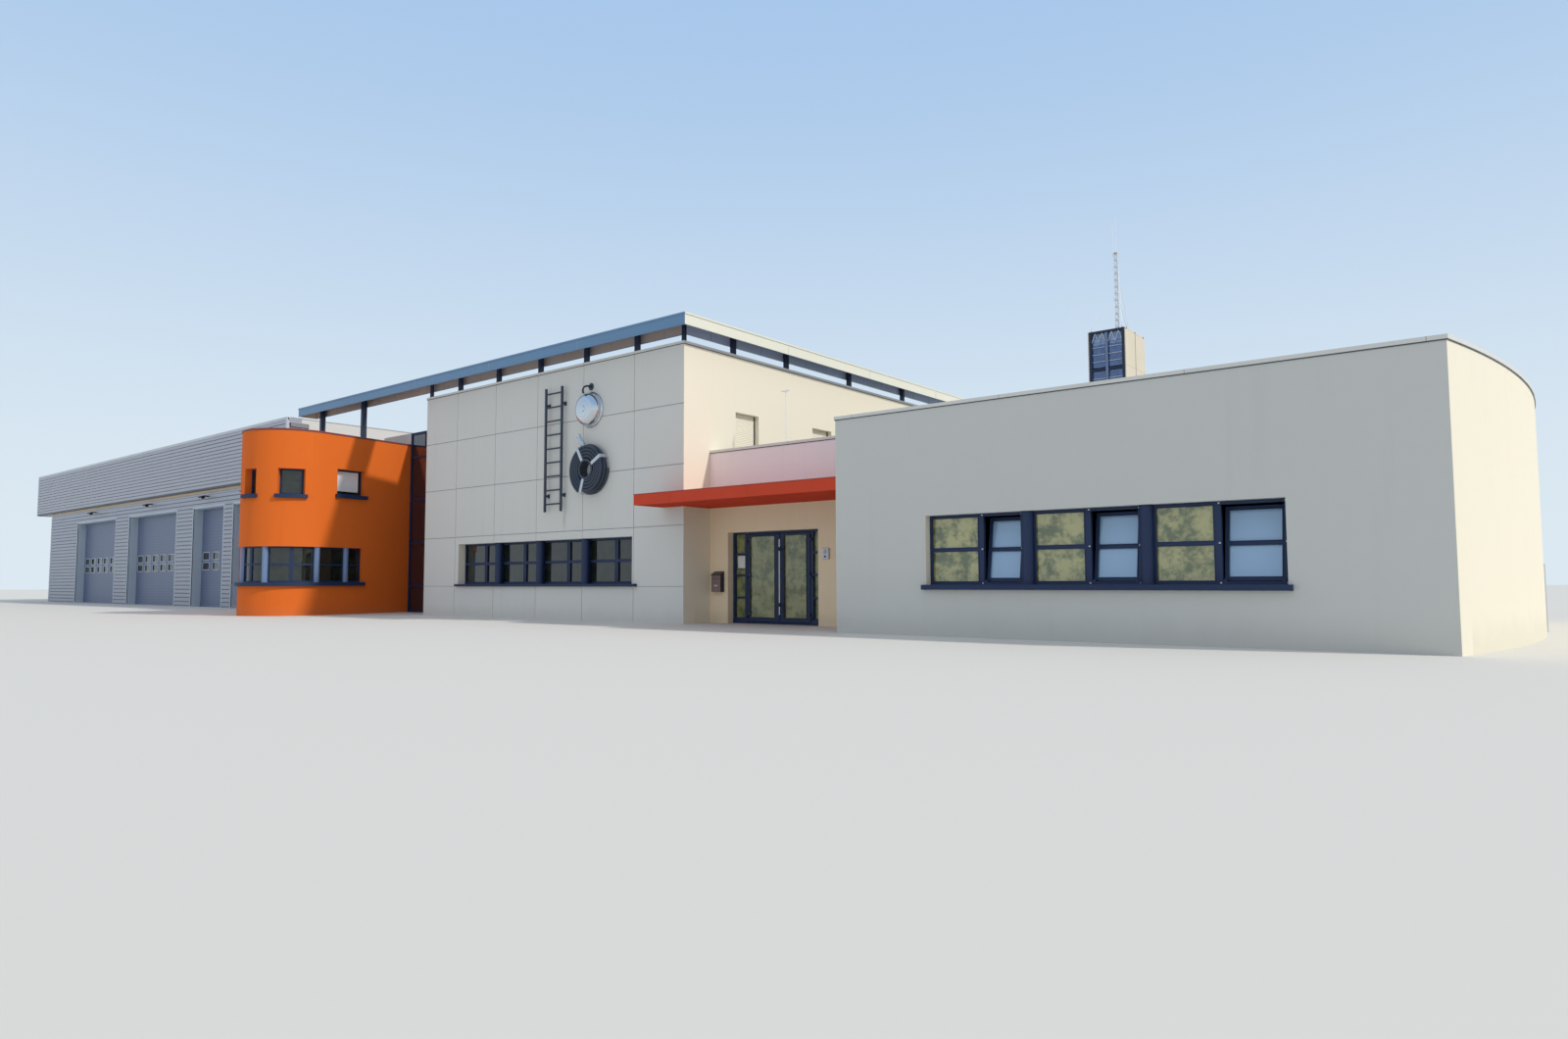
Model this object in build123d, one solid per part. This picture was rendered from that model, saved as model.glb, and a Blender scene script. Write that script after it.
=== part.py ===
from build123d import *
from math import cos, degrees, radians, sin, tan
import os

# Fire station at half its real size. Millimetres, +Z up, street fronts face -Y.
# The origin lies on the ground in the middle of the entrance, on the outer face of the door frame.

# Shared construction
JOINT = 0.5              # movement joint between pieces of one node
SLAB_T = 20.0            # ground slab above the ground
WALL_T = 180.0           # outer walls of the office blocks
ROOF_T = 80.0            # roof decks
COPING_T = 30.0          # metal coping, height
COPING_OUT = 10.0        # metal coping, overhang
PANE_T = 8.0             # glass thickness
BAR = 24.0               # window frame bar, face width
BAR_D = 36.0             # window frame bar, depth
SILL_T = 32.0            # projecting sill, height
SILL_OUT = 45.0          # projecting sill, overhang
SILL_END = 30.0          # projecting sill, overrun past the opening
COLUMN_R = 52.0          # round columns in the window strips
COLUMN_SET = 18.0        # columns behind the wall face
COLUMN_LAP = 10.0        # window frames that end at a column reach this far into it
COLUMN_SIDES = 12        # flats of the columns
BARREL_SIDES = 8         # flats of hinge barrels and of the pull
BAR_SIDES = 4            # flats of the thin bars of masts and stays
BRACE_SIDES = 3          # flats of the mast's braces

# Entrance
OPENING_LEFT = 708.0     # doorway edge left of the origin
OPENING_RIGHT = 608.0    # doorway edge right of the origin
DOOR_HEAD = 1056.0       # doorway height
REVEAL = 95.0            # wall face in front of the door frame
LEAF_LEFT_W = 484.0      # left leaf, from the meeting line to its hinge post
LEAF_RIGHT_W = 434.0     # right leaf, likewise
POST_W = 38.0            # fixed posts beside the leaves
JAMB_W = 34.0            # frame against the wall
HEADER_H = 24.0          # frame header
FRAME_D = 60.0           # depth of the fixed door frame
LEAF_GAP = 6.0           # gap between a leaf and what stands still
MEETING_GAP = 9.0        # gap between the two leaves
LEAF_T = 30.0            # leaf thickness
LEAF_PROUD = 3.0         # leaf in front of the frame face
STILES_LEFT = (35.0, 66.5)   # stiles of the left leaf, from the left
STILES_RIGHT = (58.5, 46.0)  # stiles of the right leaf, likewise
BOTTOM_RAIL_H = 42.0     # leaf bottom rail
TOP_RAIL_H = 18.0        # leaf top rail
HINGE_R = 6.0            # hinge barrel radius
HINGE_OUT = 9.0          # hinge axis in front of the leaf face
HINGE_H = 34.0           # one hinge barrel
HINGE_GAP = 0.3          # running gap between the two barrels of a hinge
HINGE_FOOT = 26.0        # hinge plate on the leaf or post
HINGE_Z = (78.0, 531.0, 948.0)
TRANSOM_Z = (299.0, 556.0, 803.0)
PULL_R = 9.0             # pull bar radius
PULL_OUT = 42.0          # pull bar in front of the leaf
PULL_Z = (110.0, 960.0)
PULL_STANDOFF_Z = (222.0, 849.0)
STANDOFF_R = 7.0
PULL_X = 24.0            # pull bar right of the meeting line
LETTERBOX_X = (-912.0, -766.0)
LETTERBOX_Z = (363.0, 603.0)
LETTERBOX_OUT = 62.0
LETTERBOX_SLOPE = 34.0   # fall of its lid
INTERCOM_X = (680.0, 762.0)
INTERCOM_Z = (721.0, 839.0)
INTERCOM_OUT = 24.0

# Middle block
MID_CORNER_X = -990.0    # its right front corner
ENTRY_RECESS = 450.0     # entrance wall behind the middle block's front
MID_W = 5480.0
MID_D = 14112.0
MID_H = 3300.0           # top of the coping
PANEL_W = 954.0          # cladding panel width
FIRST_PANEL_W = 845.0    # cladding panel at the right corner
PANEL_H = 711.5          # cladding panel height
FIRST_JOINT_Z = 430.0    # top of the lowest row of panels
GROOVE_W = 7.0
GROOVE_D = 6.0
GROOVE_STOP = 60.0       # upright joints end this far from the window strip
MID_STRIP = (908.0, 4610.0)                # ends of its window strip, from the left corner
MID_COLUMNS = (1804.0, 2734.0, 3667.0)     # columns in the strip
MID_MULLIONS = (1437.0, 2343.0, 3277.0, 4211.0)
MID_STRIP_SET = 113.0    # strip windows behind the wall face
MID_SILL_END = 89.0      # right-hand overrun of the strip's sill
STRIP_HEAD = 1037.0      # head of the ground floor windows
SIDE_WIN_W = 440.0       # upper windows of the side walls
SIDE_WIN_FIRST = 908.0
SIDE_WIN_PITCH = 1582.0
SIDE_WIN_SET = 90.0
SIDE_WIN_Z = (1960.0, 2580.0)  # sill and head, above the low roofs
REAR_WIN_COUNT = 3
LEFT_WIN_COUNT = 4
PARAPET = 250.0          # coping above the roof deck
UPPER_FLOOR_Z = 1600.0   # top of the upper floor
UPPER_FLOOR_T = 120.0

# Link between the middle block and the round block
LINK_X0 = -8870.0
LINK_SET = 618.0         # link front behind the middle block's front
LINK_D = 6592.0
LINK_H = 2985.0
LINK_BAR = 40.0
LINK_PARAPET = 80.0

# Round block
NOSE_R = 711.0
NOSE_X = 7442.0          # nose centre left of the middle block's corner
NOSE_Y = 1087.0          # nose centre in front of the middle block's front
NOSE_WALL = 150.0
SIDE_LEAN = 9.6          # degrees between the round block's side wall and +Y
ROUND_H = 2781.0
ROUND_PARAPET = 120.0
RIBBON_START = -124.0    # degrees, left end of the nose ribbon window
RIBBON_END = 733.0       # right end of it along the side wall
RIBBON_Z = (496.0, 1030.0)     # sill and head
RIBBON_SET = 60.0
RIBBON_JOINTS = (-101.0, -78.5, -55.4, -23.3)  # degrees, between the curved sashes
RIBBON_COLUMNS = (-101.0, -55.4, 8.0)          # degrees, columns on the curve
SIDE_COLUMN = 472.0      # column along the side wall
NOSE_COLUMN_R = 42.0
BAR_TURN = 2.2           # degrees taken by one bar of a curved sash
SILL_TURN = 2.5          # degrees by which a curved sill overruns its opening
NOSE_UPPER = ((-89.0, -68.0), (-41.0, -11.0))  # degrees, upper windows of the nose
NOSE_UPPER_Z = (1810.0, 2195.0)
SIDE_UPPER = (254.0, 743.0)
SIDE_UPPER_Z = (1855.0, 2250.0)
ROUND_UPPER_SET = 95.0
ROUND_SILL_T = 56.0

# Garage hall
HALL_X1 = -11087.0
HALL_LEN = 14340.0       # lower storey
HALL_OVERHANG = 1235.0   # upper storey past the lower one at the left end
HALL_D = 7210.0
HALL_H = 3514.0
HALL_WALL = 210.0
BAND_Z = 2420.0          # foot of the upper storey
BAND_OUT = 40.0          # upper storey in front of the lower one
SOFFIT_T = 24.0          # underside of its left end
HALL_DOOR_H = 2050.0
HALL_DOOR_SET = 165.0    # door behind the wall face
HALL_DOOR_T = 30.0
LINING_T = 12.0
SMALL_DOOR_W = 1535.0
BIG_DOOR_W = 2905.0
FIRST_PIER = 775.0
SMALL_PIER = 474.0
BIG_PIER = 942.0
LIGHT_W = 330.0
LIGHT_H = 150.0
LIGHT_EDGE = 92.0        # door edge to its first light
SMALL_DOOR_LIGHTS = 3    # lights in a row
BIG_DOOR_LIGHTS = 6
LIGHT_Z = (845.0, 1053.0)
LAMP_Z = 2240.0          # middle of a floodlight
LAMP_SIZE = (150.0, 70.0, 60.0)
LAMP_TIP = 25.0          # degrees
LAMP_ARM_L = 120.0
LAMP_ARM_W = 24.0
LAMP_ARM_UP = 20.0       # arm above the middle of the lamp
LOUVRE_Y = (35.0, 370.0)       # behind the upper storey's front
LOUVRE_Z = (3343.0, 3425.0)
LOUVRE_T = 16.0

# Right block
RIGHT_X0 = 1510.0
RIGHT_W = 4808.0
RIGHT_OUT = 480.0        # its front ahead of the middle block's front
RIGHT_D = 6386.0
RIGHT_H = 2052.0
BOW = 425.0              # rise of the bowed end wall
RIGHT_STRIP = (973.0, 3844.0)              # ends of its window strip, from its left corner
RIGHT_COLUMNS = (1903.0, 2870.0)
RIGHT_MULLIONS = (1474.0, 2408.0, 3378.0)
RIGHT_STRIP_SET = 75.0
RIGHT_SILL_Z = 407.0     # foot of the sill
RIGHT_SILL_T = 43.0
RIGHT_HEAD = 1059.0
TILT = 9.0               # degrees, tilted sashes
SASH_GAP = 4.0           # tilted sash inside its frame
LOW_PARAPET = 140.0
ENTRY_H = 2048.0

# Canopy
CANOPY_Z0 = 1354.0
CANOPY_Z1 = 1478.0
CANOPY_LEFT = 330.0      # overlap on the middle block's front
CANOPY_BACK = 10.0       # canopy front behind the right block's front
CANOPY_BEAM = 25.0
SLAT_T = 14.0
SLAT_H = 56.0
SLAT_PITCH = 82.0
JOIST_COUNT = 3

# Flying roof
RING_Z0 = 3415.0
RING_T = 139.0
RING_LEN = 9524.0        # along the street front
RING_D = 6710.0          # along the side
RING_FRONT_W = 325.0
RING_SIDE_W = 311.0
RING_FRONT_OUT = 205.0   # ahead of the middle block's front
RING_SIDE_OUT = 214.0    # beyond its side wall
RING_POST = 55.0
RING_CORNER_POST = 42.0
RING_TALL_POST = 70.0
RING_POST_IN = 45.0      # post centre behind the wall face
RING_SIDE_POSTS = (911.0, 1972.0, 3439.0, 4907.0, 6374.0)
RING_TALL_POSTS = (7498.0, 8939.0)

# Tower
TOWER_W = 814.0
TOWER_D = 1288.0
TOWER_H = 6030.0
TOWER_POST = 62.0
TOWER_BEAM = 44.0
TOWER_LANDINGS = (1600.0, 3200.0, 4480.0, 5180.0)
LANDING_T = 24.0
TOWER_PANEL_T = 20.0
MAST_X = 515.0           # mast axis right of the tower's left side
MAST_Y = 420.0           # mast axis behind the tower's front
MAST_TOP = 7850.0
MAST_W = 84.0
MAST_BAR_R = 5.0
MAST_BRACE_R = 3.0
MAST_BAYS = 10
MAST_PLATE_R = 67.0      # head plate
MAST_PLATE_T = 8.0
MAST_PLATE_SIDES = 8
WHIP_TOP = 8520.0
WHIP_OUT = 70.0          # whip beside the mast's head
WHIP_ARM = (60.0, 40.0)  # foot and top of its arm below the head
MID_WHIP_TOP = 8680.0
STAY_R = 4.0
STAY_HEADS = (7600.0, 6830.0)
STAY_FOOT = 40.0         # anchor plate
POLE_AT = (-293.0, 484.0)      # pole on the entrance roof
POLE_TOP = 2780.0
POLE_R = 8.0
POLE_BAR = (120.0, 10.0, 12.0)

# Wall piece on the middle block's front
RELIEF_X = 2510.0        # its left edge left of the corner
RELIEF_Z = 1400.0
RELIEF_OUT = 60.0        # middle of the ladder in front of the wall
LADDER_W = 364.0
LADDER_H = 1640.0
RAIL_W = 34.0
RAIL_D = 28.0
RUNG_H = 22.0
RUNG_D = 18.0
RUNG_COUNT = 9
BRACKET_Z = (200.0, 1400.0)
BRACKET_H = 30.0
REEL_AT = (900.0, 500.0)       # middle of the hose reel from the lower left corner
REEL_R = 330.0
REEL_HUB_R = 110.0
REEL_T = 130.0
REEL_SIDES = 16
BELL_AT = (860.0, 1270.0)
BELL_R = 230.0
BELL_CROWN_R = 125.0
BELL_T = 150.0
BELL_SIDES = 12

# Derived planes
mid_x1 = MID_CORNER_X
mid_x0 = mid_x1 - MID_W
entry_y0 = -REVEAL
front_y = entry_y0 - ENTRY_RECESS
mid_y1 = front_y + MID_D
link_y0 = front_y + LINK_SET
link_y1 = link_y0 + LINK_D
right_y0 = front_y - RIGHT_OUT
right_y1 = right_y0 + RIGHT_D
right_x1 = RIGHT_X0 + RIGHT_W
nose_x = mid_x1 - NOSE_X
nose_y = front_y - NOSE_Y
nose_in = NOSE_R - NOSE_WALL
tangent_x = nose_x + NOSE_R * cos(radians(SIDE_LEAN))
tangent_y = nose_y + NOSE_R * sin(radians(SIDE_LEAN))
link_glass_x0 = tangent_x - tan(radians(SIDE_LEAN)) * (link_y0 - tangent_y)
hall_x0 = HALL_X1 - HALL_LEN
band_x0 = hall_x0 - HALL_OVERHANG
hall_y1 = front_y + HALL_D
strip_sill = FIRST_JOINT_Z + SILL_T
right_sill = RIGHT_SILL_Z + RIGHT_SILL_T
joint_z = [FIRST_JOINT_Z + k * PANEL_H for k in range(4)]
joint_x = [mid_x1 - FIRST_PANEL_W - k * PANEL_W for k in range(5)]
mid_wall_top = MID_H - COPING_T
mid_deck = MID_H - PARAPET
tower_y0 = mid_y1 - TOWER_D

mid_front = Location((mid_x0, front_y, 0))
mid_right = Location((mid_x1, front_y, 0), (0, 0, 90))
mid_rear = Location((mid_x1, mid_y1, 0), (0, 0, 180))
mid_left = Location((mid_x0, mid_y1, 0), (0, 0, -90))
right_front = Location((RIGHT_X0, right_y0, 0))
round_side = Location((tangent_x, tangent_y, 0), (0, 0, 90 + SIDE_LEAN))


def block(x0, x1, y0, y1, z0, z1):
    """Box between two corners."""
    return Pos((x0 + x1) / 2, (y0 + y1) / 2, (z0 + z1) / 2) * Box(x1 - x0, y1 - y0, z1 - z0)


def on_face(face, s0, s1, d0, d1, z0, z1):
    """Box in a facade's own frame: along it, into the wall, up."""
    return face * block(s0, s1, d0, d1, z0, z1)


def prism(points, z0, z1):
    """Upright prism on a closed outline."""
    outline = Face(Wire.make_polygon([(x, y, z0) for x, y in points], close=True))
    return extrude(outline, amount=z1 - z0, dir=(0, 0, 1))


def nose_point(radius, angle):
    """Point of the nose's plan at a radius and an angle from +X."""
    return (nose_x + radius * cos(radians(angle)), nose_y + radius * sin(radians(angle)), 0)


def sector(r0, r1, a0, a1, z0, z1):
    """Upright curved slab round the nose's axis."""
    middle = (a0 + a1) / 2
    outer = Edge.make_three_point_arc(nose_point(r1, a0), nose_point(r1, middle), nose_point(r1, a1))
    inner = Edge.make_three_point_arc(nose_point(r0, a1), nose_point(r0, middle), nose_point(r0, a0))
    ends = [
        Edge.make_line(nose_point(r1, a1), nose_point(r0, a1)),
        Edge.make_line(nose_point(r0, a0), nose_point(r1, a0)),
    ]
    plan = Face(Wire([outer, ends[0], inner, ends[1]]))
    return Pos(0, 0, z0) * extrude(plan, amount=z1 - z0, dir=(0, 0, 1))


def rod(start, end, radius, sides=BAR_SIDES):
    """Bar with flat sides between two points."""
    axis = Vector(*end) - Vector(*start)
    plane = Plane(origin=start, z_dir=axis)
    return extrude(plane * RegularPolygon(radius, sides), amount=axis.length)


def save(name, solids):
    """Write one node."""
    shapes = solids if isinstance(solids, list) else [solids]
    parts = [s for shape in shapes for s in shape.solids()]
    export_step(parts[0] if len(parts) == 1 else Compound(children=parts), f"parts/{name}.step")


def grid(face, s0, s1, z0, z1, depth, columns, rows, bar=BAR):
    """Window of equal lights: its frame and its panes."""
    frame = on_face(face, s0, s1, depth, depth + BAR_D, z0, z1)
    light_w = (s1 - s0 - bar * (columns + 1)) / columns
    light_h = (z1 - z0 - bar * (rows + 1)) / rows
    panes = []
    for i in range(columns):
        for j in range(rows):
            s = s0 + bar + i * (light_w + bar)
            z = z0 + bar + j * (light_h + bar)
            frame -= on_face(face, s, s + light_w, depth - 1, depth + BAR_D + 1, z, z + light_h)
            pane = depth + (BAR_D - PANE_T) / 2
            panes.append(on_face(face, s, s + light_w, pane, pane + PANE_T, z, z + light_h))
    return frame, panes


def column(face, s, z0, z1, radius=COLUMN_R):
    """Round column just behind a facade."""
    return face * rod((s, COLUMN_SET + radius, z0), (s, COLUMN_SET + radius, z1), radius, COLUMN_SIDES)


def sill(face, s0, s1, z, depth, height=SILL_T, end=SILL_END):
    """Projecting window sill whose top is at z; end is its overrun on the right."""
    nose = on_face(face, s0 - SILL_END, s1 + end, -SILL_OUT, 0, z - height, z)
    return nose + on_face(face, s0, s1, -SILL_OUT, depth, z - height, z)


def floor_slabs():
    """Ground slabs, each inside its own walls; one reaches the back of the door frame."""
    doorway = block(-OPENING_LEFT, OPENING_RIGHT, FRAME_D, entry_y0 + WALL_T, 0, SLAB_T)
    lobby = block(mid_x1, RIGHT_X0, entry_y0 + WALL_T, right_y1 - WALL_T, 0, SLAB_T)
    return [
        block(mid_x0 + WALL_T, mid_x1 - WALL_T, front_y + WALL_T, mid_y1 - WALL_T, 0, SLAB_T),
        doorway + lobby,
        right_inside(0, SLAB_T),
        link_floor(0, SLAB_T),
        round_inside(0, SLAB_T),
        block(hall_x0 + HALL_WALL, HALL_X1 - HALL_WALL, front_y + HALL_WALL, hall_y1 - HALL_WALL, 0, SLAB_T),
    ]


def link_floor(z0, z1):
    """Slab of the link, running up to the glazed wall."""
    slab = block(LINK_X0 + WALL_T, mid_x0, link_y0 + WALL_T, link_y1 - WALL_T, z0, z1)
    return slab + block(link_glass_x0, mid_x0, link_y0 + BAR_D, link_y0 + WALL_T, z0, z1)


def upper_floors():
    """First floors of the middle block, the link and the round block."""
    z0 = UPPER_FLOOR_Z - UPPER_FLOOR_T
    return [
        block(mid_x0 + WALL_T, mid_x1 - WALL_T, front_y + WALL_T, mid_y1 - WALL_T, z0, UPPER_FLOOR_Z),
        link_floor(z0, UPPER_FLOOR_Z),
        round_inside(z0, UPPER_FLOOR_Z),
    ]


def roof_decks():
    """Roof decks between the parapets of every block but the hall."""
    link_deck = LINK_H - LINK_PARAPET
    round_deck = ROUND_H - ROUND_PARAPET
    low_deck = RIGHT_H - LOW_PARAPET
    z0 = mid_deck - ROOF_T
    return [
        block(mid_x0 + WALL_T, mid_x1 - WALL_T, front_y + WALL_T, mid_y1 - WALL_T, z0, mid_deck),
        link_floor(link_deck - ROOF_T, link_deck),
        round_inside(round_deck - ROOF_T, round_deck),
        block(mid_x1, RIGHT_X0, entry_y0 + WALL_T, right_y1 - WALL_T, low_deck - ROOF_T, low_deck),
        right_inside(low_deck - ROOF_T, low_deck),
    ]


def side_windows():
    """Start of each window along the middle block's right wall, clear of the low rear wall."""
    count = int((MID_D - TOWER_D - SIDE_WIN_FIRST - SIDE_WIN_W) // SIDE_WIN_PITCH) + 1
    starts = [SIDE_WIN_FIRST + k * SIDE_WIN_PITCH for k in range(count)]
    margin = SIDE_WIN_W + SILL_END + COPING_OUT
    meets = (right_y1 - WALL_T - front_y - margin, right_y1 - front_y + SILL_END + COPING_OUT)
    return [s for s in starts if not meets[0] < s < meets[1]]


def even_windows(length, count):
    """Start of each window in an evenly spaced row."""
    pitch = length / count
    return [(k + 0.5) * pitch - SIDE_WIN_W / 2 for k in range(count)]


def window_rows():
    """Every punched window of the middle block: face, start, sill top and head."""
    low, high = (strip_sill, STRIP_HEAD), SIDE_WIN_Z
    rear = even_windows(MID_W, REAR_WIN_COUNT)
    left = even_windows(mid_y1 - link_y1, LEFT_WIN_COUNT)
    behind = [s for s in side_windows() if s > right_y1 - front_y]
    rows = [(mid_right, s, *high) for s in side_windows()]
    rows += [(mid_right, s, *low) for s in behind]
    rows += [(mid_rear, s, *z) for s in rear for z in (low, high)]
    rows += [(mid_left, s, *z) for s in left for z in (low, high)]
    return rows


def punch(wall, face):
    """Cut one wall's windows through it."""
    for row_face, s, z0, z1 in window_rows():
        if row_face is face:
            wall -= on_face(face, s, s + SIDE_WIN_W, -1, WALL_T + 1, z0 - SILL_T, z1)
    return wall


def mid_front_wall():
    """Panel-clad front with the long window strip and sunk panel joints."""
    wall = block(mid_x0, mid_x1, front_y, front_y + WALL_T, 0, mid_wall_top)
    wall -= on_face(mid_front, *MID_STRIP, -1, WALL_T + 1, FIRST_JOINT_Z, STRIP_HEAD)
    half = GROOVE_W / 2
    for z in joint_z[1:]:
        wall -= block(mid_x0 - 1, mid_x1 + 1, front_y - 1, front_y + GROOVE_D, z - half, z + half)
    for x in joint_x:
        wall -= block(x - half, x + half, front_y - 1, front_y + GROOVE_D, STRIP_HEAD + GROOVE_STOP, MID_H)
        wall -= block(x - half, x + half, front_y - 1, front_y + GROOVE_D, -1, FIRST_JOINT_Z - GROOVE_STOP)
    return wall


def mid_right_wall():
    """Side wall towards the entrance with its upper windows."""
    wall = block(mid_x1 - WALL_T, mid_x1, front_y + WALL_T, mid_y1 - WALL_T, 0, mid_wall_top)
    return punch(wall, mid_right)


def mid_back_walls():
    """Rear wall and left wall of the middle block."""
    rear = block(mid_x0, mid_x1, mid_y1 - WALL_T, mid_y1, 0, mid_wall_top)
    left = block(mid_x0, mid_x0 + WALL_T, front_y + WALL_T, mid_y1 - WALL_T - JOINT, 0, mid_wall_top)
    return [punch(rear, mid_rear), punch(left, mid_left)]


def coping_run(x0, x1, y0, y1, top):
    """One straight length of coping."""
    return block(x0, x1, y0, y1, top - COPING_T, top)


def mid_coping():
    """Coping along the middle block's four walls."""
    out = COPING_OUT
    inner = WALL_T + COPING_OUT
    y0, y1 = front_y + inner + JOINT, mid_y1 - inner - JOINT
    tower = block(mid_x1, mid_x1 + TOWER_W, tower_y0, mid_y1 + WALL_T, 0, TOWER_H)
    return [
        coping_run(mid_x0 - out, mid_x1 + out, front_y - out, front_y + inner, MID_H),
        coping_run(mid_x0 - out, mid_x1 + out, mid_y1 - inner, mid_y1 + out, MID_H) - tower,
        coping_run(mid_x0 - out, mid_x0 + inner, y0, y1, MID_H),
        coping_run(mid_x1 - inner, mid_x1 + out, y0, y1, MID_H) - tower,
    ]


def mid_strip():
    """Window strip of the middle block: sashes side by side, the round columns before them, and panes."""
    edges = sorted([*MID_STRIP, *MID_COLUMNS, *MID_MULLIONS])
    frames, panes = [], []
    for s0, s1 in zip(edges, edges[1:]):
        frame, lights = grid(mid_front, s0, s1, strip_sill, STRIP_HEAD, MID_STRIP_SET, 1, 2)
        frames.append(frame)
        panes += lights
    frames += [column(mid_front, s, strip_sill, STRIP_HEAD) for s in MID_COLUMNS]
    return fused(frames), panes


def fused(shapes):
    """One solid out of pieces that meet."""
    return shapes[0].fuse(*shapes[1:]).clean()


def side_window_set():
    """Frames and panes of the middle block's punched windows."""
    frames, panes = [], []
    for face, s, z0, z1 in window_rows():
        frame, lights = grid(face, s, s + SIDE_WIN_W, z0, z1, SIDE_WIN_SET, 1, 1)
        frames.append(frame)
        panes += lights
    return frames, panes


def window_sills():
    """Projecting sills of the office blocks."""
    sills = [
        sill(mid_front, *MID_STRIP, strip_sill, MID_STRIP_SET + BAR_D, end=MID_SILL_END),
        sill(right_front, *RIGHT_STRIP, right_sill, RIGHT_STRIP_SET + BAR_D, height=RIGHT_SILL_T),
    ]
    sills += [sill(face, s, s + SIDE_WIN_W, z, SIDE_WIN_SET + BAR_D) for face, s, z, _ in window_rows()]
    return sills


def orange_sills():
    """Sills of the round block: three upper ones and the long one under the ribbon window."""
    sills = [sill(round_side, *SIDE_UPPER, SIDE_UPPER_Z[0], ROUND_UPPER_SET + BAR_D, height=ROUND_SILL_T)]
    z0, z1 = NOSE_UPPER_Z[0] - ROUND_SILL_T, NOSE_UPPER_Z[0]
    for a0, a1 in NOSE_UPPER:
        lip = sector(NOSE_R, NOSE_R + SILL_OUT, a0 - SILL_TURN, a1 + SILL_TURN, z0, z1)
        sills.append(lip + sector(NOSE_R - ROUND_UPPER_SET - BAR_D, NOSE_R, a0, a1, z0, z1))
    z0, z1 = RIBBON_Z[0] - ROUND_SILL_T, RIBBON_Z[0]
    bed = RIBBON_SET + BAR_D
    ribbon = sector(NOSE_R, NOSE_R + SILL_OUT, RIBBON_START - SILL_TURN, SIDE_LEAN, z0, z1)
    ribbon += sector(NOSE_R - bed, NOSE_R, RIBBON_START, SIDE_LEAN, z0, z1)
    ribbon += on_face(round_side, 0, RIBBON_END + SILL_END, -SILL_OUT, 0, z0, z1)
    ribbon += on_face(round_side, 0, RIBBON_END, 0, bed, z0, z1)
    return sills + [ribbon]


def bow_radius():
    """Radius of the bowed end wall from its chord and rise."""
    return (RIGHT_D ** 2 / 4 + BOW ** 2) / (2 * BOW)


def bow_solid(inset, x0, y0, y1, z0, z1):
    """Everything right of x0 and inside the bowed line."""
    radius = bow_radius()
    centre_x = right_x1 + BOW - radius
    middle_y = (right_y0 + right_y1) / 2
    disc = Pos(centre_x, middle_y, (z0 + z1) / 2) * Cylinder(radius - inset, z1 - z0)
    return disc & block(x0, right_x1 + BOW + 1, y0, y1, z0, z1)


def right_inside(z0, z1):
    """Slab that fills the right block between its walls."""
    y0, y1 = right_y0 + WALL_T, right_y1 - WALL_T
    return bow_solid(WALL_T, RIGHT_X0 + WALL_T, y0, y1, z0, z1)


def right_end_wall():
    """Bowed end wall between the front and the rear wall."""
    y0, y1 = right_y0 + WALL_T, right_y1 - WALL_T
    top = RIGHT_H - COPING_T
    outer = bow_solid(0, right_x1 - WALL_T, y0, y1, 0, top)
    return outer - bow_solid(WALL_T, RIGHT_X0, y0 - 1, y1 + 1, -1, top + 1)


def right_front_wall():
    """Front of the right block with its window strip."""
    top = RIGHT_H - COPING_T
    wall = bow_solid(0, RIGHT_X0, right_y0, right_y0 + WALL_T, 0, top)
    return wall - on_face(right_front, *RIGHT_STRIP, -1, WALL_T + 1, RIGHT_SILL_Z, RIGHT_HEAD)


def right_left_wall():
    """Wall between the entrance and the right block."""
    top = RIGHT_H - COPING_T
    return block(RIGHT_X0, RIGHT_X0 + WALL_T, right_y0 + WALL_T, right_y1 - WALL_T, 0, top)


def low_rear_wall():
    """Rear wall of the entrance and the right block."""
    top = RIGHT_H - COPING_T
    return bow_solid(0, mid_x1, right_y1 - WALL_T, right_y1, 0, top)


def low_coping():
    """Coping of the right block and the entrance."""
    out, inner = COPING_OUT, WALL_T + COPING_OUT
    z0 = RIGHT_H - COPING_T
    front = bow_solid(-out, RIGHT_X0 - out, right_y0 - out, right_y0 + inner, z0, RIGHT_H)
    rear = bow_solid(-out, mid_x1, right_y1 - inner, right_y1 + out, z0, RIGHT_H)
    y0, y1 = right_y0 + inner + JOINT, right_y1 - inner - JOINT
    end = bow_solid(-out, right_x1 - inner, y0, y1, z0, RIGHT_H)
    end -= bow_solid(inner, RIGHT_X0, y0 - 1, y1 + 1, z0 - 1, RIGHT_H + 1)
    divide = block(RIGHT_X0, RIGHT_X0 + inner, y0, y1, z0, RIGHT_H)
    entry = block(mid_x1, RIGHT_X0 - JOINT, entry_y0 - out, entry_y0 + inner, ENTRY_H - COPING_T, ENTRY_H)
    return [front, rear, end, divide, entry]


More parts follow.
